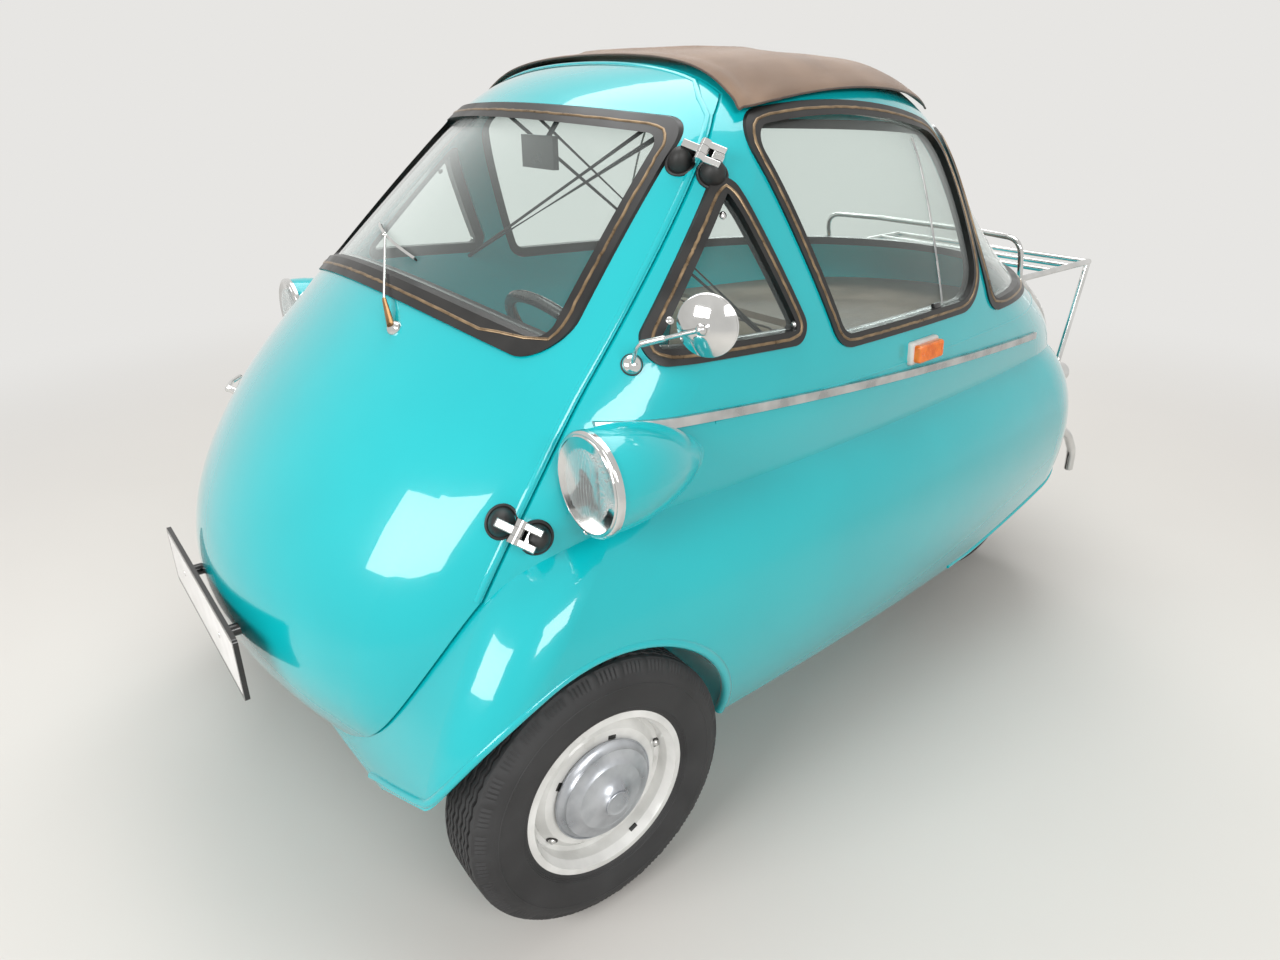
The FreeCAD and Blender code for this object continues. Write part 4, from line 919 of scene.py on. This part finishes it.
def luggage_rack():
    body = surface_of("lower_body", "upper_frame")
    leg = [Vector((RACK_X, tail_at(body, RACK_X, level) + RACK_TUBE + RACK_STAND, level))
           for level in RACK_LEVELS]
    top = Vector((RACK_X, leg[0].y - 0.022, RACK_TOP))
    foot = Vector((RACK_X, leg[-1].y + 0.052, 0.552))
    frames = Form()
    side = rounded_path([*leg, foot, RACK_REAR - Vector((0, 0.004, 0.004))], 0.035)
    frames.tube(side, RACK_TUBE, sides=16)
    frames.tube([RACK_REAR, leg[0]], RACK_TUBE, sides=16)
    for knob in (leg[0], RACK_REAR):
        for axes in ((BACK, UP, LEFT), (UP, BACK, RIGHT)):
            frames.dome(knob, [Vector(axis) for axis in axes], (RACK_TUBE,) * 3, 6, 16)
    frames.both_sides()
    aside = Vector((-2 * RACK_X, 0, 0))
    bow = Vector((0, LOOP_BOW, 0))
    loop = [leg[0], top, top + aside * 0.25 + bow, top + aside * 0.75 + bow, top + aside, leg[0] + aside]
    frames.tube(rounded_path(loop, 0.045, 10), RACK_CROSS, sides=16)
    frames.tube([RACK_REAR, RACK_REAR + aside], RACK_CROSS, sides=20)
    for share in PLATFORM_SHARES:
        joint = leg[0].lerp(RACK_REAR, share)
        frames.tube([joint, joint + aside], RACK_CROSS, sides=20)
    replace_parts(frames.piece("rack_tubes", "chrome", "car_body"), "luggage_rack")


HORN_X = 0.422
HORN_ROOT = 0.432
HORN_TUBE = 0.012
HORN_FLANGE_AXIS = (0, 0.82, -0.57)
HORN_FLANGE = ((-10, 0), (-10, 21), (4, 21), (7, 16), (8, 12))


def bumper_horns():
    body = surface_of("lower_body")
    root = tail_at(body, HORN_X, HORN_ROOT)
    path = rounded_path([(HORN_X, root - 0.016, HORN_ROOT), (HORN_X, root + 0.070, 0.372),
                         (HORN_X, root + 0.110, 0.318), (HORN_X, root + 0.112, 0.262)], 0.09, 10)
    horns = Form().tube(path, HORN_TUBE, sides=20)
    horns.dome(path[-1], (Vector(LEFT), Vector(AHEAD), -UP), (HORN_TUBE, HORN_TUBE, HORN_TUBE / 2), 6, 20)
    horns.turned(HORN_FLANGE, (HORN_X, root, HORN_ROOT), HORN_FLANGE_AXIS, 28)
    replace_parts(horns.both_sides().piece("bumper_tubes", "chrome", "car_body"), "bumper_horns")


# Wheels

TYRE_STEPS = 360
SHOULDER_BLOCKS = 30
ZIGZAG = 0.0021
# Half of a tyre's section in mm, from the bead to the middle of the tread:
# distance from the middle plane, radius, depth of the shoulder's slits, and whether the line zigzags.
TYRE_HALF = (
    (46.0, 145.3, 0, 0), (50.0, 146.6, 0, 0), (53.0, 150.0, 0, 0), (54.3, 152.4, 0, 0),
    (55.2, 153.0, 0, 0), (55.1, 154.4, 0, 0), (56.2, 155.2, 0, 0), (56.1, 156.8, 0, 0),
    (57.2, 157.6, 0, 0), (57.2, 159.4, 0, 0), (58.2, 160.4, 0, 0), (58.4, 162.4, 0, 0),
    (60.0, 170.0, 0, 0), (61.5, 180.0, 0, 0), (62.2, 190.0, 0, 0), (62.3, 198.0, 0, 0),
    (62.2, 201.6, 0, 0), (62.9, 202.5, 0, 0), (62.9, 203.7, 0, 0), (62.0, 204.6, 0, 0),
    (61.5, 208.0, 0, 0), (60.6, 211.5, 0, 0), (59.9, 213.4, 0, 0), (58.6, 217.0, 1.8, 0),
    (56.8, 221.0, 2.4, 0), (54.5, 225.0, 2.9, 0), (51.5, 230.0, 3.1, 0), (48.0, 234.6, 3.0, 0),
    (44.8, 237.4, 2.4, 0), (42.8, 238.5, 0, 0), (41.0, 239.1, 0, 0), (36.0, 239.5, 0, 1),
    (34.6, 234.6, 0, 1), (31.6, 234.6, 0, 1), (30.2, 239.7, 0, 1), (25.0, 239.9, 0, 1),
    (23.8, 236.2, 0, 1), (22.4, 236.2, 0, 1), (21.2, 240.0, 0, 1), (15.4, 240.1, 0, 1),
    (14.0, 235.0, 0, 1), (11.0, 235.0, 0, 1), (9.6, 240.2, 0, 1), (3.4, 240.3, 0, 1),
    (2.4, 236.6, 0, 1))


def tyre_form(centres):
    tyre = Form()
    section = list(TYRE_HALF)
    section += [(-across, radius, slit, zigzag) for across, radius, slit, zigzag in reversed(TYRE_HALF)]
    block = TYRE_STEPS // SHOULDER_BLOCKS
    for centre in centres:
        rings = []
        for step in range(TYRE_STEPS):
            turn = 2 * math.pi * step / TYRE_STEPS
            wave = abs(step % 6 - 3) / 1.5 - 1
            slotted = step % block in (1, 3, 5, 7, 9)
            ring = []
            for across, radius, slit, zigzag in section:
                place = across / 1000 + (ZIGZAG * wave if zigzag else 0)
                reach = (radius - (slit if slotted else 0)) / 1000
                ring.append(Vector(centre) + Vector((place, reach * math.cos(turn), reach * math.sin(turn))))
            rings.append(ring)
        tyre.rings(rings, closed=True)
    return tyre


def tyres():
    for hand, side in (("left", 1), ("right", -1)):
        tyre = tyre_form([(side * FRONT_HALF_TRACK, FRONT_AXLE, TYRE_RADIUS)])
        shown = tyre.piece("tread_tyre_front_" + hand, "tyre", "front_wheel_" + hand, sharp=28)
        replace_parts(shown, "front_tyre_" + hand)
    rear = tyre_form([(side * REAR_HALF_TRACK, REAR_AXLE, TYRE_RADIUS) for side in (1, -1)])
    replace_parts(rear.piece("tread_tyres_rear", "tyre", "rear_wheels", sharp=28), "rear_tyres")


RIM_BOLTS_SEEN = ((655, 742), (552, 840))
RIM_SLOTS_SEEN = ((633, 827), (612, 737), (559, 787))
CAP_DISC = ((-4, 0), (-4, 21.5), (0.2, 21.5), (1, 20.5), (0.4, 19), (0.3, 0))
CAP_RING = 0.0905
WASHER = ((-1, 0), (-1, 9.8), (1.2, 9.5), (2, 7.8), (2, 0))
BOLT = ((0, 0), (0, 6.6), (2.8, 6.4), (5.2, 4.8), (6.6, 2.4), (7, 0))
WHEEL_PIECES = (("rim_bolts_", "chrome", None), ("rim_washers_", "black_metal", None),
                ("rim_slots_", "soft_rubber", "rubber"), ("hub_discs_", "hub_metal", None))


def wheel_fittings():
    rim = surface_of("front_rim_left")
    cap = surface_of("hub_cap_left")
    hub = Vector((0, FRONT_AXLE, TYRE_RADIUS))
    bolts, washers, slots, discs = forms = [Form() for _ in range(4)]
    for spot in RIM_BOLTS_SEEN:
        place, normal = seen_at(rim, *spot)
        washers.turned(WASHER, place, normal, 28)
        bolts.turned(BOLT, place, normal, 24)
    for spot in RIM_SLOTS_SEEN:
        place, normal = seen_at(rim, *spot)
        out = Vector((0, place.y - hub.y, place.z - hub.z)).normalized()
        side = out.cross(normal).normalized()
        slots.block(place, (0.0012, 0.0075, 0.0035), 0.0011, (normal, side, normal.cross(side)))
    disc, _ = struck(cap, *from_left(hub.y, hub.z))
    discs.turned(CAP_DISC, disc - Vector((0.0012, 0, 0)), LEFT, 48)
    ring_x = struck(cap, *from_left(hub.y + CAP_RING, hub.z))[0].x + 0.0004
    circle = oval(hub + Vector((ring_x, 0, 0)), Vector(BACK), UP, CAP_RING, CAP_RING, 96)
    discs.tube(circle, 0.0012, closed=True, sides=8)
    for hand, side in (("left", 1), ("right", -1)):
        for form, (name, material, slot) in zip(forms, WHEEL_PIECES):
            copy = Form().add([(side * point.x, point.y, point.z) for point in form.points], form.faces)
            copy.piece(name + hand, material, "front_wheel_" + hand, slot)


# Fabric roof

ROOF_FRONT_LOW = (-0.297, 1.243)
ROOF_REAR_LOW = (0.400, 1.232)
FRONT_SLANT = 31 / 177
REAR_SLANT = 36 / 188
ROOF_EDGE = 0.0012
ROOF_SIDE = ((0, -0.297, 1.243), (0, -0.030, 1.274), (0, 0.400, 1.232))
ROOF_ROWS, ROOF_COLUMNS = 96, 150
HEM = 0.022
HEM_RISE = 0.0013
CANVAS_THICK = 0.0018
# Radii of the thin dark cords of painted shade along the canvas's side and front edges
EDGE_SHADE_RADIUS = 0.0021
FRONT_EDGE_SHADE_RADIUS = 0.0019
ROOF_CORE = 1.0


def roof_canvas():
    roof = surface_of("fabric_roof")
    side = arc_points(*ROOF_SIDE, 400)

    def edge_height(y):
        return min(side, key=lambda point: abs(point.y - y)).z

    rows, normals = [], []
    for row in range(ROOF_ROWS + 1):
        u = row / ROOF_ROWS
        line, outs = [], []
        y_edge = ROOF_FRONT_LOW[0] + (ROOF_REAR_LOW[0] - ROOF_FRONT_LOW[0]) * u
        edge, _ = struck(roof, *from_left(min(max(y_edge, -0.290), 0.395), edge_height(y_edge) + 0.003))
        lowest = math.atan2(edge.z - ROOF_CORE, edge.x)
        for column in range(ROOF_COLUMNS + 1):
            v = 2 * column / ROOF_COLUMNS - 1
            for nudge in range(20):
                lean = math.pi / 2 - v * (1 - 0.004 * nudge) * (math.pi / 2 - lowest)
                out = Vector((math.cos(lean), 0, math.sin(lean)))
                z = 1.33 - 0.09 * abs(v) ** 3
                for _ in range(9):
                    front = ROOF_FRONT_LOW[0] + (z - ROOF_FRONT_LOW[1]) * FRONT_SLANT + ROOF_EDGE
                    rear = ROOF_REAR_LOW[0] + (z - ROOF_REAR_LOW[1]) * REAR_SLANT - ROOF_EDGE
                    y = front + (rear - front) * u
                    place, normal = struck(roof, Vector((0, y, ROOF_CORE)) + out, -out)
                    if place is not None and abs(z - place.z) < 0.0005:
                        break
                    z = place.z if place is not None else z - 0.008
                if place is not None:
                    break
            line.append(place)
            outs.append(normal)
        rows.append(line)
        normals.append(outs)
    crest = [line[ROOF_COLUMNS // 2] for line in rows]
    middle = rows[ROOF_ROWS // 2]
    length = sum((two - one).length for one, two in zip(crest, crest[1:]))
    width = sum((two - one).length for one, two in zip(middle, middle[1:]))
    top, below = [], []
    for row in range(ROOF_ROWS + 1):
        upper, lower = [], []
        for column in range(ROOF_COLUMNS + 1):
            from_ends = min(row, ROOF_ROWS - row) * length / ROOF_ROWS
            from_sides = min(column, ROOF_COLUMNS - column) * width / ROOF_COLUMNS
            inside = min(from_ends, from_sides)
            hem = HEM_RISE * max(0.0, min(1.0, (HEM - inside) / 0.004 + 0.5))
            stitch = -0.0006 * math.exp(-((inside - HEM + 0.005) / 0.0022) ** 2)
            seam = -0.0005 * math.exp(-((from_sides - 0.085) / 0.003) ** 2)
            along, across = row * length / ROOF_ROWS, column * width / ROOF_COLUMNS
            puff = 0.0034 * math.exp(-((along - 0.014) / 0.012) ** 2 - ((from_sides - 0.03) / 0.07) ** 2)
            fan = math.atan2(along + 0.02, from_sides + 0.02)
            folds = 0.0012 * math.exp(-math.hypot(along, from_sides) / 0.16) * math.sin(95 * fan / 6)
            slack = 0.0006 * math.sin(21 * along + 2.2 * math.sin(7 * across)) * math.sin(9 * across + 1.3)
            slack += 0.0004 * math.sin(47 * along + 5 * across + 1.7 * math.sin(11 * across))
            edge_roll = -0.0014 * math.exp(-inside / 0.003)
            rise = 0.0010 + hem + stitch + seam + puff + folds + slack * min(1.0, inside / 0.06) + edge_roll
            point, out = rows[row][column], normals[row][column]
            upper.append(point + out * rise)
            lower.append(point + out * (rise - CANVAS_THICK))
        top.append(upper)
        below.append(lower)
    canvas = Form()
    wide = ROOF_COLUMNS + 1
    points = [point for line in top for point in line] + [point for line in below for point in line]
    under = len(points) // 2
    faces = []
    for row in range(ROOF_ROWS):
        for column in range(ROOF_COLUMNS):
            near = row * wide + column
            faces.append((near, near + 1, near + wide + 1, near + wide))
            faces.append((under + near, under + near + wide, under + near + wide + 1, under + near + 1))
    rim = list(range(wide))
    rim += [row * wide + ROOF_COLUMNS for row in range(1, ROOF_ROWS + 1)]
    rim += [ROOF_ROWS * wide + column for column in range(ROOF_COLUMNS - 1, -1, -1)]
    rim += [row * wide for row in range(ROOF_ROWS - 1, 0, -1)]
    for one, two in zip(rim, rim[1:] + rim[:1]):
        faces.append((one, under + one, under + two, two))
    canvas.add(points, faces)
    shown = canvas.piece("roof_canvas", "roof_cloth", "car_body", sharp=50)
    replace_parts(shown, "fabric_roof")
    # Thin cords of the darkened roof cloth along the side and front edges: painted shade for the dark line
    # along the canvas's edges.
    edges = [top[row][ROOF_COLUMNS] - normals[row][ROOF_COLUMNS] * 0.0016 for row in range(ROOF_ROWS + 1)]
    edge_shade_cords = Form().tube(edges, EDGE_SHADE_RADIUS, sides=8)
    edge_shade_cords.tube(flipped(edges), EDGE_SHADE_RADIUS, sides=8)
    front = [top[0][column] - normals[0][column] * 0.0012 for column in range(ROOF_COLUMNS + 1)]
    edge_shade_cords.tube(front, FRONT_EDGE_SHADE_RADIUS, sides=8)
    trim = edge_shade_cords.piece("roof_edge_shade_cord", "shaded_edge_cloth", "car_body", "roof_cloth")


# Seats

PAD_VOXEL = 0.011
PAD_FRAMES = 18
PAD_CAP = 0.013
PAD_SHRINK = 0.008
CHANNEL_DEPTH = 0.005
CHANNEL_WIDTH = 0.006
PIPING_LEVEL = 0.478
PIPING_RADIUS = 0.0036
PIPING_AHEAD = 0.026
BACK_LEAN = 0.176
SEAT_CHANNELS = (-0.22, 0.0, 0.22)


def padded_piece(node, name, up):
    # A pad blown up from the CAD solid by a short cloth simulation, with sewn channels across it.
    mesh = NODES[node].data.copy()
    pad = bpy.data.objects.new(name, mesh)
    bpy.context.scene.collection.objects.link(pad)
    low, high = [Vector(corner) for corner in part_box(node)]
    middle = (low + high) / 2
    for vertex in mesh.vertices:
        for index in range(3):
            half = (high[index] - low[index]) / 2
            vertex.co[index] = middle[index] + (vertex.co[index] - middle[index]) * (half - PAD_SHRINK) / half
    remesh = pad.modifiers.new("remesh", "REMESH")
    remesh.mode = "VOXEL"
    remesh.voxel_size = PAD_VOXEL

    def taken():
        bpy.context.view_layer.update()
        return bpy.data.meshes.new_from_object(pad.evaluated_get(bpy.context.evaluated_depsgraph_get()))

    shape = taken()
    pad.modifiers.clear()
    pad.data = shape
    rest = [vertex.co.copy() for vertex in shape.vertices]
    cloth = pad.modifiers.new("cloth", "CLOTH")
    cloth.settings.quality = 5
    cloth.settings.use_pressure = True
    cloth.settings.uniform_pressure_force = 4
    cloth.settings.effector_weights.gravity = 0
    cloth.settings.tension_stiffness = 12
    cloth.settings.compression_stiffness = 12
    for frame_number in range(1, PAD_FRAMES + 1):
        bpy.context.scene.frame_set(frame_number)
    blown = taken()
    pad.modifiers.clear()
    bpy.context.scene.frame_set(1)
    for vertex, start, end in zip(shape.vertices, rest, blown.vertices):
        move = end.co - start
        if move.length > PAD_CAP:
            move = move.normalized() * PAD_CAP
        vertex.co = start + move
    bpy.data.meshes.remove(blown)
    divide = pad.modifiers.new("subdivision", "SUBSURF")
    divide.levels = divide.render_levels = 1
    smooth = taken()
    pad.modifiers.clear()
    pad.data = smooth
    pad.data.name = name
    up = Vector(up).normalized()
    outs = [vertex.normal.copy() for vertex in smooth.vertices]
    places = []
    for vertex, normal in zip(smooth.vertices, outs):
        place = vertex.co.copy()
        facing = max(0.0, normal.dot(up))
        for channel in SEAT_CHANNELS:
            dip = math.exp(-((place.x - channel) / CHANNEL_WIDTH) ** 2)
            place -= normal * (CHANNEL_DEPTH * facing * dip)
        places += [min(max(place[index], low[index] - 0.001), high[index] + 0.004) for index in range(3)]
    smooth.vertices.foreach_set("co", places)
    smooth.update()
    smooth.materials.clear()
    smooth.materials.append(MATERIALS["seat_cloth"])
    for face in smooth.polygons:
        face.use_smooth = True
        face.material_index = 0
    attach(pad, "car_body")
    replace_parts(pad, node)
    return pad


def seats():
    cushion = padded_piece("seat_cushion", "seat_cushion_pad", (0, 0, 1))
    back = padded_piece("seat_back", "seat_back_pad", (0, -1, 0.18))
    piping = Form()
    for pad, node in ((cushion, "seat_cushion"), (back, "seat_back")):
        pad_skin = BVHTree.FromPolygons([vertex.co.copy() for vertex in pad.data.vertices],
                                        [list(face.vertices) for face in pad.data.polygons])
        low, high = [Vector(corner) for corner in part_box(node)]
        middle, span = (low + high) / 2, high - low
        path = []
        for turn in turns(160):
            across, on = math.cos(turn) * span.x, math.sin(turn)
            if pad is cushion:
                out = Vector((across, on * span.y, 0)).normalized()
                origin = Vector((middle.x, middle.y, PIPING_LEVEL)) + out
            else:
                out = Vector((across, on * BACK_LEAN * span.z, on * span.z)).normalized()
                origin = middle - Vector((0, PIPING_AHEAD, 0)) + out
            place, _ = struck(pad_skin, origin, -out)
            if place is not None:
                path.append(place - out * 0.0004)
        piping.tube(path, PIPING_RADIUS, closed=True, sides=8)
    piping.piece("seat_piping", "piping", "car_body", "seat_cloth")


# Small fittings

LATCH_SEEN = (934, 306)
PANE_EDGE_BEHIND = 0.028
SCREWS_SEEN = ((722.8, 215.3), (669.8, 320.8), (794.0, 324.7))
LATCH_HALF = (0.005, 0.011, 0.006)
PANE_EDGE_SECTION = (0.0032, 0.0016)
LOCK_KEY_HALF = (0.0045, 0.0022, 0.0085)
LOCK_PLACE = (-2.0, 0.665, 0.48)
STEERING_AXIS = Vector((0, 0.8, 0.6))
STEERING_HUB = Vector((0.24, -0.47, 0.80))
SCREW = ((-1, 0), (-1, 6.2), (1.4, 6), (3.2, 4), (3.8, 1.2), (3.8, 0))
LID_LOCK = ((-1, 0), (-1, 12.5), (3, 12), (5.5, 9), (6, 0))
HORN_BUTTON = ((-2, 0), (-2, 20), (3, 19.5), (6, 16), (7.5, 8), (7.8, 0))


def small_fittings():
    pane = surface_of("side_window_left")
    place, normal = seen_at(pane, *LATCH_SEEN)
    latch = Form().block(place + normal * 0.004, LATCH_HALF, 0.0025, skin_axes(normal))
    latch.both_sides().piece("window_latches", "black_plastic", "car_body")
    pane_edge = place.y + PANE_EDGE_BEHIND
    path, outs = [], []
    for step in range(49):
        z = place.z - 0.06 + 0.36 * step / 48
        place_on, normal = struck(pane, *from_left(pane_edge, z))
        if place_on is not None:
            path.append(place_on + normal * 0.0016)
            outs.append(normal)
    Form().strip(path, outs, *PANE_EDGE_SECTION).both_sides().piece("pane_edges", "trim_metal", "car_body")
    rubber = surface_of("window_rubbers", "upper_frame", "quarter_windows")
    screws = Form()
    for spot in SCREWS_SEEN:
        screws.turned(SCREW, *seen_at(rubber, *spot), 24)
    screws.both_sides().piece("quarter_window_screws", "chrome", "car_body")
    lid = surface_of("engine_lid")
    place, normal = struck(lid, LOCK_PLACE, LEFT)
    lock = Form().turned(LID_LOCK, place, normal, 32)
    up_axis = normal.cross(Vector(BACK)).normalized()
    key_axes = (normal, normal.cross(up_axis), up_axis)
    lock.block(place + normal * 0.009, LOCK_KEY_HALF, 0.0018, key_axes)
    lock.piece("engine_lid_lock", "chrome", "side_lid")
    wheel = surface_of("steering_wheel")
    middle, _ = struck(wheel, STEERING_HUB + STEERING_AXIS * 0.5, -STEERING_AXIS)
    Form().turned(HORN_BUTTON, middle, STEERING_AXIS, 40).piece("horn_button", "chrome", "steering")


# Studio

FLOOR_COLOUR = (0.62, 0.60, 0.57)
SKY_COLOUR = (0.80, 0.79, 0.77)
FLOOR_HALF = 40.0
FADE_START = 1.7
FADE_END = 4.2


def either(tree, *sockets):
    # The largest of some numbers.
    value = sockets[0]
    for socket in sockets[1:]:
        value = new_node(tree, "Math", {0: value, 1: socket}, operation="MAXIMUM").outputs[0]
    return value


def floor_material():
    # A pale floor that passes into the backdrop's colour away from the car.
    material, tree, shader = new_material("studio_floor")
    high = tuple(min(1.0, value * 1.03) for value in FLOOR_COLOUR)
    colour = blend_colours(tree, noise(tree, 0.8), FLOOR_COLOUR, high)
    fill(tree, shader, {"Base Color": colour, "Roughness": 0.8})
    place = new_node(tree, "TexCoord", {}).outputs["Object"]
    away = new_node(tree, "VectorMath", {0: place}, operation="LENGTH").outputs["Value"]
    fade = new_node(tree, "MapRange", {"Value": away, "From Min": FADE_START, "From Max": FADE_END},
                    interpolation_type="SMOOTHSTEP").outputs["Result"]
    path = new_node(tree, "LightPath", {}).outputs
    seen = either(tree, path["Is Camera Ray"], path["Is Glossy Ray"])
    share = new_node(tree, "Math", {0: fade, 1: seen}, operation="MULTIPLY").outputs[0]
    mixed_output(tree, share, shader, new_node(tree, "Emission", {"Color": (*SKY_COLOUR, 1)}))
    return material


def make_studio():
    bpy.ops.mesh.primitive_plane_add(size=2 * FLOOR_HALF, location=(0, 0, 0))
    floor = bpy.context.object
    floor.name = "studio_floor"
    floor.data.materials.append(floor_material())
    world = bpy.data.worlds.new("studio")
    bpy.context.scene.world = world
    world.use_nodes = True
    tree = world.node_tree
    tree.nodes.clear()
    new_node(tree, "OutputWorld", {})
    lit = new_node(tree, "Background", {"Color": (1.0, 0.98, 0.95, 1), "Strength": 0.45})
    seen = new_node(tree, "Background", {"Color": (*SKY_COLOUR, 1), "Strength": 1.0})
    path = new_node(tree, "LightPath", {}).outputs
    rays = either(tree, path["Is Camera Ray"], path["Is Glossy Ray"], path["Is Transmission Ray"])
    mixed_output(tree, rays, lit, seen)


LAMPS = (
    # name, place, aim, width, height, watts
    ("window_front", (1.0, -5.0, 2.6), (0.2, -0.3, 0.6), 3.2, 1.8, 150),
    ("window_side", (4.6, -1.2, 3.0), (0.3, 0.0, 0.6), 2.6, 1.6, 110),
    ("overhead", (-0.8, 0.6, 4.6), (0.0, 0.0, 0.6), 4.0, 3.0, 120),
    ("rear_fill", (-3.5, 3.8, 2.8), (0.0, 0.2, 0.6), 2.6, 2.0, 90),
)


def make_lamps():
    for name, place, aim, width, height, watts in LAMPS:
        data = bpy.data.lights.new(name, "AREA")
        data.shape = "RECTANGLE"
        data.size = width
        data.size_y = height
        data.energy = watts
        lamp = bpy.data.objects.new(name, data)
        lamp.location = place
        lamp.rotation_mode = "QUATERNION"
        lamp.rotation_quaternion = (Vector(aim) - Vector(place)).to_track_quat("-Z", "Y")
        bpy.context.scene.collection.objects.link(lamp)


make_camera()
dress_nodes()
filler_strips()
door_edges()
arch_lips()
weld_lines()
headlamps()
indicators()
tail_lamps()
door_mirror()
wiper()
plate_face()
door_handle()
hinge_boots()
luggage_rack()
bumper_horns()
tyres()
wheel_fittings()
roof_canvas()
seats()
small_fittings()
make_studio()
make_lamps()
bpy.context.scene.view_settings.view_transform = "Standard"
